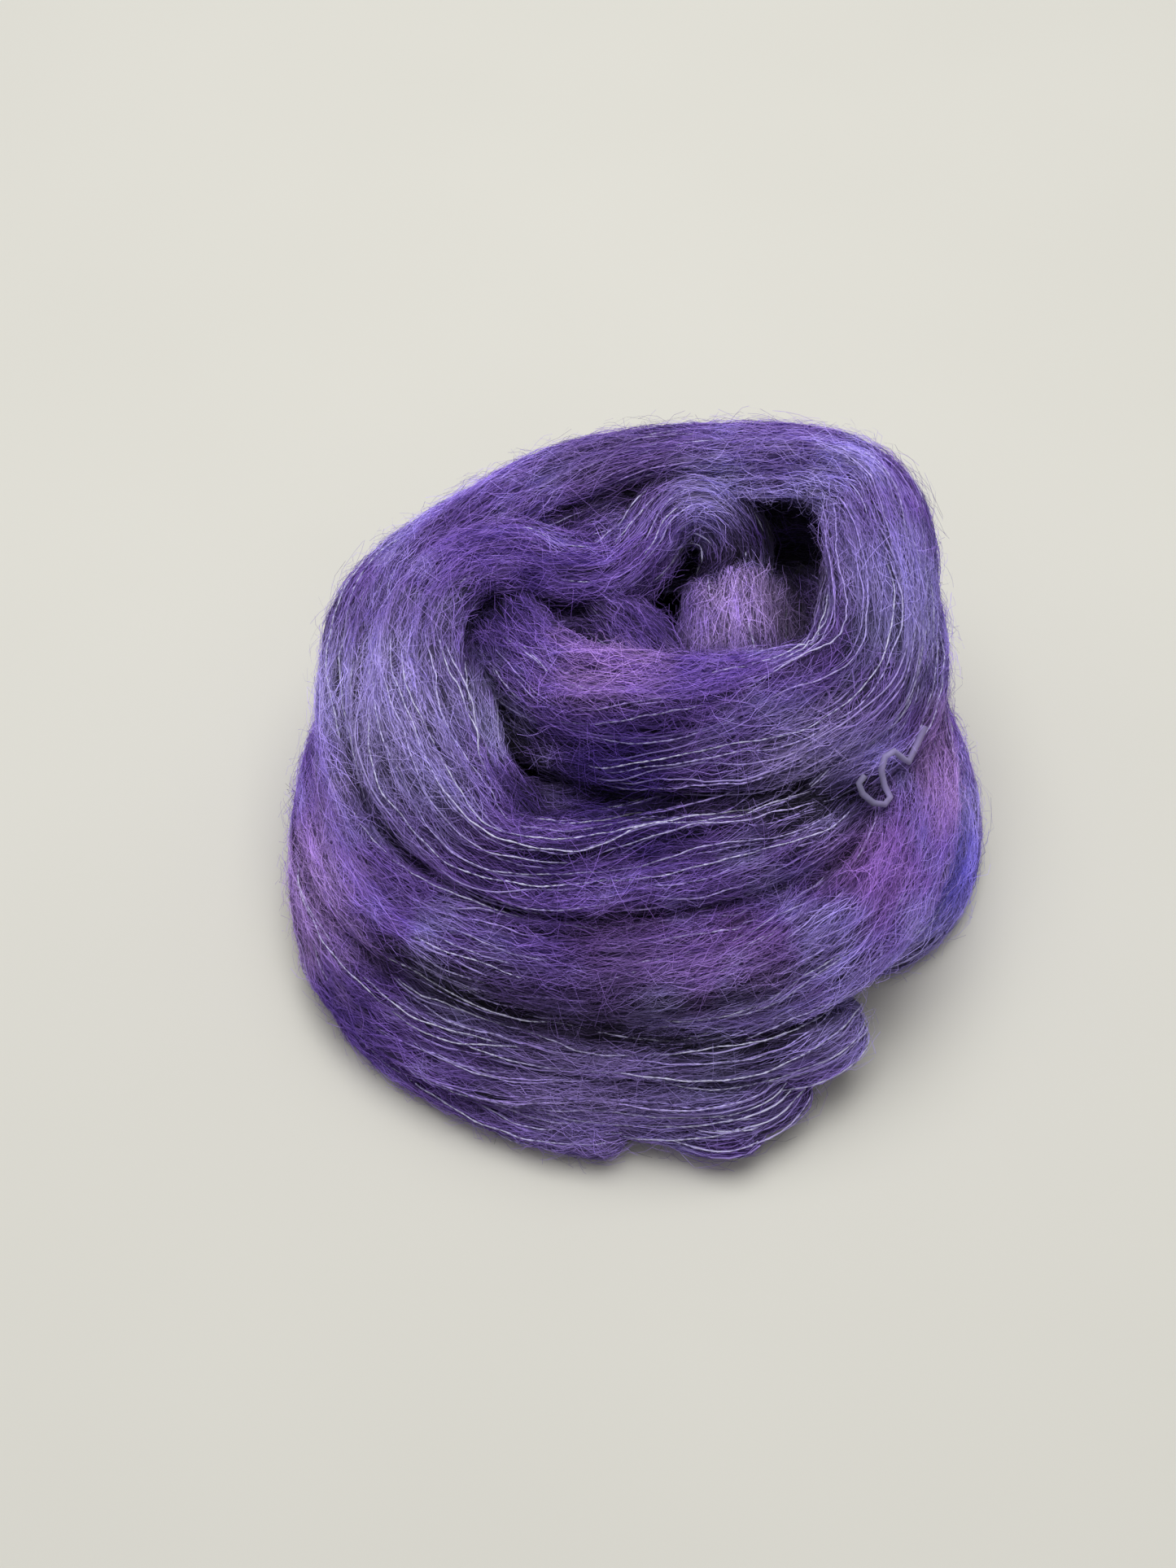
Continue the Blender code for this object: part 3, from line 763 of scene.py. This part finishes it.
def wool_surface(lofts, skin):
    """One mesh of all the bundles where they show, with a map that runs along the strands."""
    verts, faces, maps = [], [], []
    here, there = slice(None, -1), slice(1, None)
    corners = [(here, here), (there, here), (there, there), (here, there)]
    start = 0
    for loft in lofts:
        sides = int(TAU * loft.radius / SIDE_LENGTH)
        angles = SEAM_ANGLE + TAU * np.arange(sides + 1) / sides
        run = np.repeat(loft.run[:, None], sides + 1, axis=1)
        strand = angles[None, :] - loft.turn(run)
        points, _ = loft.places(run, strand)
        points[:, -1] = points[:, 0]
        flat = points.reshape(-1, 3)
        buried = (depth_under(skin, flat) > BURIED).reshape(run.shape)
        index = start + np.arange(len(flat)).reshape(run.shape)
        quads = np.stack([index[a, b] for a, b in corners], axis=-1).reshape(-1, 4)
        hidden = np.stack([buried[a, b] for a, b in corners], axis=-1).reshape(-1, 4).all(axis=1)
        place = np.stack((run, loft.map_start + strand * loft.radius), axis=-1) * MM
        verts.append(flat)
        maps.append(place.reshape(-1, 2))
        faces.append(quads[~hidden])
        start += len(flat)
    verts, faces, maps = map(np.concatenate, (verts, faces, maps))
    used, renumbered = np.unique(faces, return_inverse=True)
    data = bpy.data.meshes.new("wool")
    data.from_pydata(verts[used].tolist(), [], renumbered.reshape(faces.shape).tolist())
    layer = data.uv_layers.new(name=SURFACE_MAP)
    layer.data.foreach_set("uv", maps[faces.reshape(-1)].reshape(-1).astype(np.float32))
    data.polygons.foreach_set("use_smooth", [True] * len(data.polygons))
    normals = np.array([v.vector for v in data.vertex_normals])
    # Painted shade: the yarn is darkened where few rays leave the hank, in creases and along the
    # shading lines.
    open_share = openness(mesh_tree(data), verts[used], normals)
    open_share *= 1 - CREASE_SHADE * crease(verts[used], normals)
    open_share *= painted_shading(verts[used])
    edges = np.array([e.vertices for e in data.edges])
    for _ in range(SMOOTHINGS):
        total, count = open_share.copy(), np.ones(len(open_share))
        for a, b in (edges.T, edges.T[::-1]):
            np.add.at(total, a, open_share[b])
            np.add.at(count, a, 1)
        open_share = total / count
    keep_values(data, "openness", open_share)
    keep_values(data, "brushed", brushed(verts[used]))
    return show("wool", data)


def guide_lines(lofts, skin, wool_tree, kind):
    """The paths of the core threads of one kind, as a mesh of edges, where they show."""
    rng = np.random.default_rng(kind.seed)
    verts, edges = [], []
    traits = {"openness": [], "shade": [], "brushed": []}
    margin = END_REACH * END_MARGIN
    wide, narrow, fine = WANDER_LENGTHS
    (high, long), (low, short) = RIDE_WAVES
    for loft in lofts:
        count = max(4, round(TAU * loft.radius / kind.spacing))
        run = np.arange(margin, loft.length - margin, kind.step)
        for k in range(count):
            phase = rng.uniform(0, TAU, 5)
            stretch = rng.uniform(*WANDER_STRETCH, 3)
            home = TAU * (k + rng.uniform(-OFF_PLACE, OFF_PLACE)) / count
            sideways = loft.swing(run, home)
            sideways += kind.wander * np.sin(TAU * run / (wide * stretch[0]) + phase[0])
            second = TAU * run / (narrow * stretch[1]) + phase[1]
            sideways += kind.wander * NARROW_WANDER * np.sin(second)
            sideways += kind.ripple * np.sin(TAU * run / (fine * stretch[2]) + phase[2])
            ride = kind.ride + high * np.sin(TAU * run / (long * stretch[1]) + phase[3])
            ride += low * np.sin(TAU * run / (short * stretch[0]) + phase[4])
            points, outward = loft.places(run, home + sideways / loft.radius)
            cover = brushed(points)
            ride -= BRUSHED_SINK * cover
            points = points + outward * (ride * MM)[:, None]
            points[:, 2] = np.maximum(points[:, 2], kind.thickness / 2 * MM)
            shown = depth_under(skin, points) < THREAD_BURIED
            share = np.zeros(len(points))
            share[shown] = openness(wool_tree, points[shown], outward[shown])
            soft = np.convolve(np.pad(share, 2, mode="edge"), np.full(5, 0.2), mode="valid")
            shown &= soft > CLOSED
            pale = rng.uniform(0, 1)
            ends = np.flatnonzero(np.diff(np.concatenate(([0], shown.astype(int), [0]))))
            for first, last in zip(ends[::2], ends[1::2]):
                if last - first > FEWEST_STEPS:
                    base = len(verts)
                    verts.extend(points[first:last].tolist())
                    traits["openness"].extend(soft[first:last])
                    traits["shade"].extend([pale] * (last - first))
                    traits["brushed"].extend(cover[first:last])
                    edges.extend((base + j, base + j + 1) for j in range(last - first - 1))
    data = bpy.data.meshes.new(kind.name)
    data.from_pydata(verts, edges, [])
    for name, values in traits.items():
        keep_values(data, name, values)
    return show(kind.name + "_guides", data)


class Wiring:
    """Adds nodes to a tree and links them: an input is a value or another node's output."""

    def __init__(self, tree):
        self.tree = tree

    def fill(self, socket, value):
        if isinstance(value, bpy.types.NodeSocket):
            self.tree.links.new(value, socket)
        else:
            socket.default_value = value

    def fill_all(self, sockets, values):
        for socket, value in zip(sockets, values):
            self.fill(socket, value)

    def add(self, kind, settings=(), **inputs):
        """A node; an input's name has _ for each space in the socket's own name."""
        node = self.tree.nodes.new(kind)
        for name, value in dict(settings).items():
            setattr(node, name, value)
        for name, value in inputs.items():
            label = name.replace("_", " ")
            self.fill(next(s for s in node.inputs if s.enabled and s.name == label), value)
        return node

    def put(self, kind, settings=(), **inputs):
        """A node's first output."""
        return self.add(kind, settings, **inputs).outputs[0]

    def out(self, node, name):
        return next(s for s in node.outputs if s.enabled and s.name == name)

    def math(self, operation, *values):
        node = self.add("ShaderNodeMath", {"operation": operation})
        self.fill_all(node.inputs, values)
        return node.outputs[0]

    def times(self, product, *others):
        for other in others:
            product = self.math("MULTIPLY", product, other)
        return product

    def vector(self, operation, *values):
        node = self.add("ShaderNodeVectorMath", {"operation": operation})
        self.fill_all([s for s in node.inputs if s.enabled], values)
        return next(s for s in node.outputs if s.enabled)

    def spread(self, value, low, high, new_low, new_high):
        return self.put("ShaderNodeMapRange", Value=value, From_Min=low, From_Max=high,
                        To_Min=new_low, To_Max=new_high)

    def random(self, low, high, seed, step=0):
        if step:
            seed = self.math("ADD", seed, step)
        node = self.add("FunctionNodeRandomValue", {"data_type": "FLOAT"}, Min=low, Max=high, Seed=seed)
        return self.out(node, "Value")

    def noise(self, place, scale, detail, **more):
        return self.put("ShaderNodeTexNoise", Vector=place, Scale=scale, Detail=detail, **more)

    def mix(self, factor, first, second):
        node = self.add("ShaderNodeMix", {"data_type": "RGBA"})
        colours = [s for s in node.inputs if s.type == "RGBA"]
        self.fill_all([node.inputs["Factor"]] + colours, (factor, first, second))
        return next(s for s in node.outputs if s.type == "RGBA")

    def keep(self, geometry, name, kind, value):
        settings = {"data_type": kind, "domain": "POINT"}
        return self.put("GeometryNodeStoreNamedAttribute", settings,
                        Geometry=geometry, Name=name, Value=value)

    def read(self, name, kind="FLOAT"):
        node = self.add("GeometryNodeInputNamedAttribute", {"data_type": kind}, Name=name)
        return self.out(node, "Attribute")

    def finish(self, result, made, material):
        """Gives a tree's result its geometry, in its material."""
        made = self.put("GeometryNodeSetShadeSmooth", Geometry=made, Shade_Smooth=True)
        made = self.put("GeometryNodeRealizeInstances", Geometry=made)
        self.fill(result, self.put("GeometryNodeSetMaterial", Geometry=made, Material=material))


def node_group(name, family, inputs, result):
    """A group of nodes with its wiring, its given sockets and its result's socket."""
    tree = bpy.data.node_groups.new(name, family)
    for label, kind in inputs.items():
        tree.interface.new_socket(label, in_out="INPUT", socket_type="NodeSocket" + kind)
    tree.interface.new_socket(result, in_out="OUTPUT", socket_type="NodeSocket" + result)
    given = tree.nodes.new("NodeGroupInput").outputs
    return tree, Wiring(tree), given, tree.nodes.new("NodeGroupOutput").inputs[0]


def thread_tree():
    """Spins a thread along each guide line: a flat section that turns, like two plies."""
    tree, w, given, result = node_group("spun_thread", "GeometryNodeTree", {
        "Geometry": "Geometry", "Thickness": "Float", "Flatness": "Float", "Pitch": "Float",
        "Material": "Material",
    }, "Geometry")
    line = w.put("GeometryNodeMeshToCurve", Mesh=given["Geometry"])
    along = w.add("GeometryNodeSplineParameter").outputs
    twist = w.times(w.math("DIVIDE", along["Length"], given["Pitch"]), math.pi)
    twisted = w.put("GeometryNodeSetCurveTilt", Curve=line, Tilt=twist)
    nearest = w.math("MINIMUM", along["Factor"], w.math("SUBTRACT", 1.0, along["Factor"]))
    taper = w.math("MINIMUM", w.math("MULTIPLY_ADD", nearest, *THREAD_TAPER), 1.0)
    tapered = w.put("GeometryNodeSetCurveRadius", Curve=twisted, Radius=taper)
    radius = w.times(given["Thickness"], 0.5)
    ring = w.put("GeometryNodeCurvePrimitiveCircle", {"mode": "RADIUS"}, Resolution=4, Radius=radius)
    size = w.put("ShaderNodeCombineXYZ", X=1.0, Y=given["Flatness"], Z=1.0)
    oval = w.put("GeometryNodeTransform", Geometry=ring, Scale=size)
    tube = w.put("GeometryNodeCurveToMesh", Curve=tapered, Profile_Curve=oval, Fill_Caps=True)
    w.finish(result, tube, given["Material"])
    return tree


def fibre_roots(w, given):
    """Points over the open wool, each with its place on the map and its own random traits."""
    wool, seed = given["Geometry"], given["Seed"]
    open_here = w.math("GREATER_THAN", w.read("openness"), CLOSED)
    facing = w.add("ShaderNodeSeparateXYZ", Vector=w.put("GeometryNodeInputNormal"))
    faces_up = w.math("GREATER_THAN", facing.outputs["Z"], UNDERSIDE)
    density = w.times(open_here, faces_up, given["Density"])
    scatter = w.add("GeometryNodeDistributePointsOnFaces", {"distribute_method": "RANDOM"},
                    Mesh=wool, Density=density, Seed=seed)
    roots = scatter.outputs["Points"]
    place = w.read(SURFACE_MAP, "FLOAT_VECTOR")
    roots = w.keep(roots, "root", "FLOAT_VECTOR", place)
    roots = w.keep(roots, "fibre", "INT", w.put("GeometryNodeInputIndex"))
    either = w.math("GREATER_THAN", w.random(0.0, 1.0, seed, 1), 0.5)
    back = w.math("MULTIPLY_ADD", either, 2.0, -1.0)
    reach = w.times(w.random(*REACH_LIMITS, seed), given["Length"])
    roots = w.keep(roots, "reach", "FLOAT", w.times(reach, back))
    lean = w.random(-1.0, 1.0, seed, 2)
    lean = w.times(lean, w.math("ABSOLUTE", lean))
    roots = w.keep(roots, "aim", "FLOAT", w.times(lean, given["Stray"]))
    roots = w.keep(roots, "phase", "FLOAT", w.random(0.0, TAU, seed, 3))
    roots = w.keep(roots, "lift", "FLOAT", w.random(*LIFT_LIMITS, seed, 4))
    own = w.random(0.0, 1.0, seed, 5)
    strands = streaks(w, w.read("root", "FLOAT_VECTOR"))
    shade = w.math("MULTIPLY_ADD", strands, STREAK_SHARE, w.times(own, 1 - STREAK_SHARE))
    roots = w.keep(roots, "shade", "FLOAT", shade)
    bare = w.times(w.math("SUBTRACT", 1.0, strands), given["Gaps"])
    sparse = w.times(w.math("SUBTRACT", WELL_BRUSHED, w.read("brushed")), given["Patchy"])
    bare = w.math("MAXIMUM", bare, sparse)
    in_gap = w.math("LESS_THAN", w.random(0.0, 1.0, seed, 6), bare)
    return w.put("GeometryNodeDeleteGeometry", {"domain": "POINT"}, Geometry=roots, Selection=in_gap)


def streaks(w, place):
    """How light the strand at a place of the surface's map is, from 0 to 1, and low in the gaps between
    strands as partly painted shade.
    """
    size = (1 / (STREAK_LENGTH * MM), 1 / (STREAK_WIDTH * MM), 1.0)
    stretched = w.vector("MULTIPLY", place, size)
    noise = w.noise(stretched, 1.0, 2.0, Roughness=0.6)
    return w.spread(noise, *STREAK_LIMITS, 0.0, 1.0)


def fibre_tree():
    """Brushes fibres over the wool: each is a narrow ribbon that follows the strands."""
    tree, w, given, result = node_group("brushed_fibre", "GeometryNodeTree", {
        "Geometry": "Geometry", "Density": "Float", "Length": "Float", "Width": "Float",
        "Bow": "Float", "Rise": "Float", "Stray": "Float", "Curl": "Float", "Points": "Int",
        "Gaps": "Float", "Patchy": "Float", "Seed": "Int", "Material": "Material",
    }, "Geometry")
    roots = fibre_roots(w, given)
    copies = w.add("GeometryNodeDuplicateElements", {"domain": "POINT"},
                   Geometry=roots, Amount=given["Points"]).outputs
    last = w.math("SUBTRACT", given["Points"], 1.0)
    step = w.math("DIVIDE", copies["Duplicate Index"], last)
    chain = w.keep(copies["Geometry"], "along", "FLOAT", step)
    along, phase, aim = w.read("along"), w.read("phase"), w.read("aim")
    wave = w.math("SINE", w.math("MULTIPLY_ADD", along, FIBRE_WAVE, phase))
    wave = w.math("SUBTRACT", wave, w.math("SINE", phase))
    sway = w.times(wave, given["Curl"], 0.5)
    travel = w.times(along, w.read("reach"))
    onward = w.times(travel, w.math("COSINE", aim))
    sideways = w.math("MULTIPLY_ADD", travel, w.math("SINE", aim), sway)
    shift = w.put("ShaderNodeCombineXYZ", X=onward, Y=sideways)
    place = w.vector("ADD", w.read("root", "FLOAT_VECTOR"), shift)
    surface_map = w.read(SURFACE_MAP, "FLOAT_VECTOR")
    found = []
    for field in ("GeometryNodeInputPosition", "GeometryNodeInputNormal"):
        value = w.put(field)
        found.append(w.add("GeometryNodeSampleUVSurface", {"data_type": "FLOAT_VECTOR"},
                           Mesh=given["Geometry"], Value=value, UV_Map=surface_map, Sample_UV=place))
    ground, normal = (w.out(node, "Value") for node in found)
    arch = w.times(along, w.math("SUBTRACT", 1.0, along), 4.0)
    rise = w.times(w.math("POWER", along, RISE_POWER), given["Rise"])
    height = w.times(w.math("MULTIPLY_ADD", arch, given["Bow"], rise), w.read("lift"))
    raised = w.vector("ADD", ground, w.vector("SCALE", normal, height))
    parts = w.add("ShaderNodeSeparateXYZ", Vector=raised).outputs
    above = w.math("MAXIMUM", parts["Z"], FLOOR_CLEARANCE * MM)
    clear = w.put("ShaderNodeCombineXYZ", X=parts["X"], Y=parts["Y"], Z=above)
    chain = w.keep(chain, "found", "FLOAT", found[0].outputs["Is Valid"])
    chain = w.put("GeometryNodeSetPosition", Geometry=chain, Position=clear)
    lost = w.math("LESS_THAN", w.read("found"), 0.5)
    chain = w.put("GeometryNodeDeleteGeometry", {"domain": "POINT"}, Geometry=chain, Selection=lost)
    strands = w.put("GeometryNodePointsToCurves", Points=chain,
                    Curve_Group_ID=w.read("fibre", "INT"), Weight=along)
    points = w.add("GeometryNodeSplineLength").outputs["Point Count"]
    stub = w.math("LESS_THAN", points, 2.5)
    strands = w.put("GeometryNodeDeleteGeometry", {"domain": "CURVE"}, Geometry=strands, Selection=stub)
    taper = w.math("MULTIPLY_ADD", w.math("POWER", along, 2.0), -TIP_LOSS, 1.0)
    strands = w.put("GeometryNodeSetCurveRadius", Curve=strands, Radius=taper)
    strands = w.put("GeometryNodeSetCurveTilt", Curve=strands, Tilt=phase)
    half = w.times(given["Width"], 0.5)
    left = w.put("ShaderNodeCombineXYZ", X=w.times(half, -1.0))
    right = w.put("ShaderNodeCombineXYZ", X=half)
    blade = w.put("GeometryNodeCurvePrimitiveLine", {"mode": "POINTS"}, Start=left, End=right)
    ribbon = w.put("GeometryNodeCurveToMesh", Curve=strands, Profile_Curve=blade)
    w.finish(result, ribbon, given["Material"])
    return tree


def grow(base, name, tree, values):
    """Runs a tree on a copy of the base object, and returns its result as a plain mesh."""
    carrier = show(name + "_carrier", base.data.copy())
    step = carrier.modifiers.new("grow", "NODES")
    step.node_group = tree
    sockets = {s.name: s.identifier for s in tree.interface.items_tree if s.in_out == "INPUT"}
    for label, value in values.items():
        step[sockets[label]] = value
    bpy.context.view_layer.update()
    seen = carrier.evaluated_get(bpy.context.evaluated_depsgraph_get())
    data = bpy.data.meshes.new_from_object(seen)
    bpy.data.objects.remove(carrier)
    for spare in SPARE_VALUES:
        if spare in data.attributes:
            data.attributes.remove(data.attributes[spare])
    return show(name, data)


# The two shader groups that the yarn's materials share: the dye, and the painted shade with the
# darkening of bare yarn.
Dyes = namedtuple("Dyes", "dye depth")


def painted_shade_and_bare_group():
    """How light the yarn is: painted shade where it is least open and deep in a crease, and darker
    where no fuzz covers it.
    """
    inputs = {"Openness": "Float", "Brushed": "Float"}
    tree, w, given, result = node_group("yarn_painted_shade_and_bare", "ShaderNodeTree", inputs, "Float")
    depth = w.spread(given["Openness"], DARK_OPENNESS, LIGHT_OPENNESS, DARKEST, 1.0)
    cover = w.spread(given["Brushed"], *COVER_LIMITS, BARE_LIGHT, 1.0)
    w.fill(result, w.times(depth, cover))
    return tree


def dye_group():
    """The hand-dyed colour at a place: soft changes of shade, and the dips, with spots of painted shade
    among them.
    """
    inputs = {"Place": "Vector", "Shade": "Float", "Light": "Float", "Gain": "Float"}
    tree, w, given, result = node_group("hand_dye", "ShaderNodeTree", inputs, "Color")
    broad, fine = (w.noise(given["Place"], scale, 2.0) for scale in DYE_SCALES)
    level = w.math("MULTIPLY_ADD", fine, FINE_PART, broad)
    level = w.math("MULTIPLY_ADD", given["Shade"], OWN_PART, level)
    ramp = w.add("ShaderNodeValToRGB", Fac=level)
    stops = ramp.color_ramp.elements
    stops[0].position = SHADE_STOPS[0]
    stops[0].color = (*DEEP_VIOLET, 1.0)
    stops[1].position = SHADE_STOPS[2]
    stops[1].color = (*LAVENDER, 1.0)
    stops.new(SHADE_STOPS[1]).color = (*PURPLE, 1.0)
    colour = ramp.outputs[0]
    ragged = w.math("MULTIPLY_ADD", fine, *RAGGED_BY_DYE)
    ragged = w.math("MULTIPLY_ADD", given["Shade"], RAGGED_BY_SHADE, ragged)
    # The dips of dye, and the spots of painted shade among them.
    for *place, radius, spot_colour, strength in DYE_DIPS_AND_SHADE_SPOTS:
        centre = [value * MM for value in place]
        apart = w.times(w.vector("DISTANCE", given["Place"], centre), ragged)
        near = w.put("ShaderNodeMapRange", {"interpolation_type": "SMOOTHSTEP"}, Value=apart,
                     From_Min=radius * SPOT_MIDDLE * MM, From_Max=radius * MM,
                     To_Min=strength, To_Max=0.0)
        colour = w.mix(near, colour, (*spot_colour, 1.0))
    lightness = w.spread(given["Shade"], 0.0, 1.0, *LIGHTNESS)
    light = w.times(lightness, given["Light"], given["Gain"])
    w.fill(result, w.vector("SCALE", colour, light))
    return tree


def new_material(name, roughness, sheen, specular=YARN_SPECULAR):
    """A soft material with the wiring of its tree and the sockets of its shader."""
    made = bpy.data.materials.new(name)
    made.use_nodes = True
    shader = made.node_tree.nodes["Principled BSDF"].inputs
    shader["Roughness"].default_value = roughness
    shader["Sheen Weight"].default_value = sheen
    shader["Sheen Roughness"].default_value = SHEEN_ROUGHNESS
    shader["Sheen Tint"].default_value = SHEEN_TINT
    shader["Specular IOR Level"].default_value = specular
    return made, Wiring(made.node_tree), shader


def value_of(w, name):
    return w.add("ShaderNodeAttribute", {"attribute_name": name}).outputs["Fac"]


def light_here(w, dyes):
    """How light the yarn is at a place of a piece: painted shade from how open it is, and how brushed
    it is.
    """
    return w.put("ShaderNodeGroup", {"node_tree": dyes.depth}, Openness=value_of(w, "openness"),
                 Brushed=value_of(w, "brushed"))


def dyed(w, dyes, shade, gain, light):
    """The dye's colour on a piece, from its own place, its shade and how light it is, which carries the
    painted shade.
    """
    place = w.add("ShaderNodeTexCoord").outputs["Object"]
    return w.put("ShaderNodeGroup", {"node_tree": dyes.dye}, Place=place, Shade=shade,
                 Light=light, Gain=gain)


def raise_bumps(w, shader, bump, height):
    strength, depth = bump
    made = w.put("ShaderNodeBump", Strength=strength, Distance=depth, Height=height)
    w.fill(shader["Normal"], made)


def wool_material(dyes):
    """The brushed wool under the strands: dark between them as painted shade, and streaked along their
    run.
    """
    made, w, shader = new_material("mohair_wool", WOOL_ROUGHNESS, WOOL_SHEEN)
    run = w.put("ShaderNodeUVMap", {"uv_map": SURFACE_MAP})
    strands = streaks(w, run)
    w.fill(shader["Base Color"], dyed(w, dyes, strands, WOOL_GAIN, light_here(w, dyes)))
    raise_bumps(w, shader, STRAND_BUMP, strands)
    return made


def thread_material(name, dyes, look, light=None):
    """A spun thread: pale silk where it took little dye, with its plies a little uneven. The dye and
    the silk are darkened by the given light, or else by the painted shade of the thread's place.
    """
    made, w, shader = new_material(name, THREAD_ROUGHNESS, look.sheen)
    place = w.add("ShaderNodeTexCoord").outputs["Object"]
    slubs = w.noise(place, SLUB_SCALE, 2.0)
    patches = w.noise(place, PALE_SCALE, 1.0)
    bare = w.math("MULTIPLY_ADD", value_of(w, "brushed"), PALE_BY_BRUSHED, PALE_START)
    bare = w.math("MULTIPLY_ADD", value_of(w, "shade"), PALE_BY_SHADE, bare)
    taken = w.spread(w.math("ADD", patches, bare), *PALE_RANGE, *look.share)
    if light is None:
        light = w.spread(light_here(w, dyes), 0.0, BARE_LIGHT, 0.0, 1.0)
    colour = dyed(w, dyes, slubs, look.gain, light)
    silk = w.vector("SCALE", look.pale, light)
    w.fill(shader["Base Color"], w.mix(taken, colour, silk))
    raise_bumps(w, shader, SLUB_BUMP, slubs)
    return made


def fibre_material(name, dyes, gain):
    """A fibre of the mohair: its own lightness, in the dye of its place, darkened by the painted shade
    there.
    """
    made, w, shader = new_material(name, FIBRE_ROUGHNESS, FIBRE_SHEEN)
    colour = dyed(w, dyes, value_of(w, "shade"), gain, light_here(w, dyes))
    w.fill(shader["Base Color"], colour)
    return made


def floor_and_light():
    """The pale paper that the hank lies on, the studio round it and its window."""
    mesh = bmesh.new()
    bmesh.ops.create_grid(mesh, x_segments=8, y_segments=8, size=FLOOR_HALF_WIDTH)
    data = bpy.data.meshes.new("floor")
    mesh.to_mesh(data)
    mesh.free()
    paper, w, shader = new_material("pale_paper", PAPER_ROUGHNESS, 0.0, PAPER_SPECULAR)
    place = w.add("ShaderNodeTexCoord").outputs["Object"]
    mottle = w.noise(place, PAPER_SCALE, 2.0)
    w.fill(shader["Base Color"], w.mix(mottle, *PAPER_SHADES))
    data.materials.append(paper)
    show("floor", data)
    world = bpy.data.worlds.new("studio")
    bpy.context.scene.world = world
    world.use_nodes = True
    w = Wiring(world.node_tree)
    toward = w.add("ShaderNodeTexCoord").outputs["Generated"]
    height = w.add("ShaderNodeSeparateXYZ", Vector=toward).outputs["Z"]
    sky = world.node_tree.nodes["Background"].inputs
    w.fill(sky["Color"], w.mix(w.spread(height, 0.0, 1.0, 0.0, 1.0), *SKY_SHADES))
    sky["Strength"].default_value = 1.0
    light = bpy.data.lights.new("window_light", "AREA")
    light.size = WINDOW_SIZE * MM
    light.energy = WINDOW_POWER
    aimed(show("window_light", light), WINDOW_PLACE, WINDOW_AIM)
    bpy.context.scene.view_settings.view_transform = "Standard"


def aimed(thing, place, target):
    """Sets a lamp or a camera at a place and turns it to its target, in millimetres."""
    thing.location = Vector(place) * MM
    toward = Vector(target) * MM - thing.location
    thing.rotation_euler = toward.to_track_quat("-Z", "Y").to_euler()


def photo_camera():
    lens = bpy.data.cameras.new("photo_view")
    lens.lens = LENS
    lens.sensor_width = SENSOR
    lens.sensor_fit = "AUTO"
    camera = show("photo_view", lens)
    aimed(camera, CAMERA_PLACE, LOOK_AT)
    bpy.context.scene.camera = camera


def tie_thread(dyes):
    """The tie thread's free end: a round cord along the solid's own route."""
    points = [Vector(row) * MM for row in smooth_rows(TIE_ROUTE, TIE_SPACING)]
    curve = bpy.data.curves.new("tie_cord", "CURVE")
    curve.dimensions = "3D"
    curve.bevel_depth = TIE_DIAMETER / 2 * MM
    curve.bevel_resolution = 3
    curve.use_fill_caps = True
    spline = curve.splines.new("POLY")
    spline.points.add(len(points) - 1)
    for point, place in zip(spline.points, points):
        point.co = (*place, 1.0)
    spline.use_smooth = True
    cord = show("tie_cord", curve)
    look = thread_material("tie_silk", dyes, TIE_LOOK, TIE_LIGHT)
    cord.data.materials.append(look)
    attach(cord, "root")
    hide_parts("tie_thread")


def belongs(piece):
    """The piece is mohair that lies on the solid hank and takes its place."""
    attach(piece, "root")
    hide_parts("hank")


def main():
    photo_camera()
    dyes = Dyes(dye_group(), painted_shade_and_bare_group())
    tie_thread(dyes)
    skin = mesh_tree(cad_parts["hank"].data)
    lofts = []
    map_start = MAP_GAP
    for name, stations in BUNDLES.items():
        lofts.append(Loft(name, stations, map_start))
        map_start = lofts[-1].map_end + MAP_GAP
    wool = wool_surface(lofts, skin)
    wool.data.materials.append(wool_material(dyes))
    belongs(wool)
    wool_tree = mesh_tree(wool.data)
    spin = thread_tree()
    for kind, look in ((SILK, SILK_LOOK), (CORE, CORE_LOOK)):
        guides = guide_lines(lofts, skin, wool_tree, kind)
        piece = grow(guides, kind.name, spin, {
            "Thickness": kind.thickness * MM, "Flatness": kind.flatness,
            "Pitch": kind.pitch * MM, "Material": thread_material(kind.name, dyes, look),
        })
        bpy.data.objects.remove(guides)
        belongs(piece)
    brush = fibre_tree()
    for kind in FIBRES:
        look = fibre_material(kind.name, dyes, kind.gain)
        piece = grow(wool, kind.name, brush, {
            "Density": float(kind.density), "Length": kind.length * MM, "Width": kind.width * MM,
            "Bow": kind.bow * MM, "Rise": kind.rise * MM, "Stray": kind.stray,
            "Curl": kind.curl * MM, "Points": kind.points, "Gaps": kind.gaps,
            "Patchy": kind.patchy, "Seed": kind.seed, "Material": look,
        })
        belongs(piece)
    floor_and_light()


main()
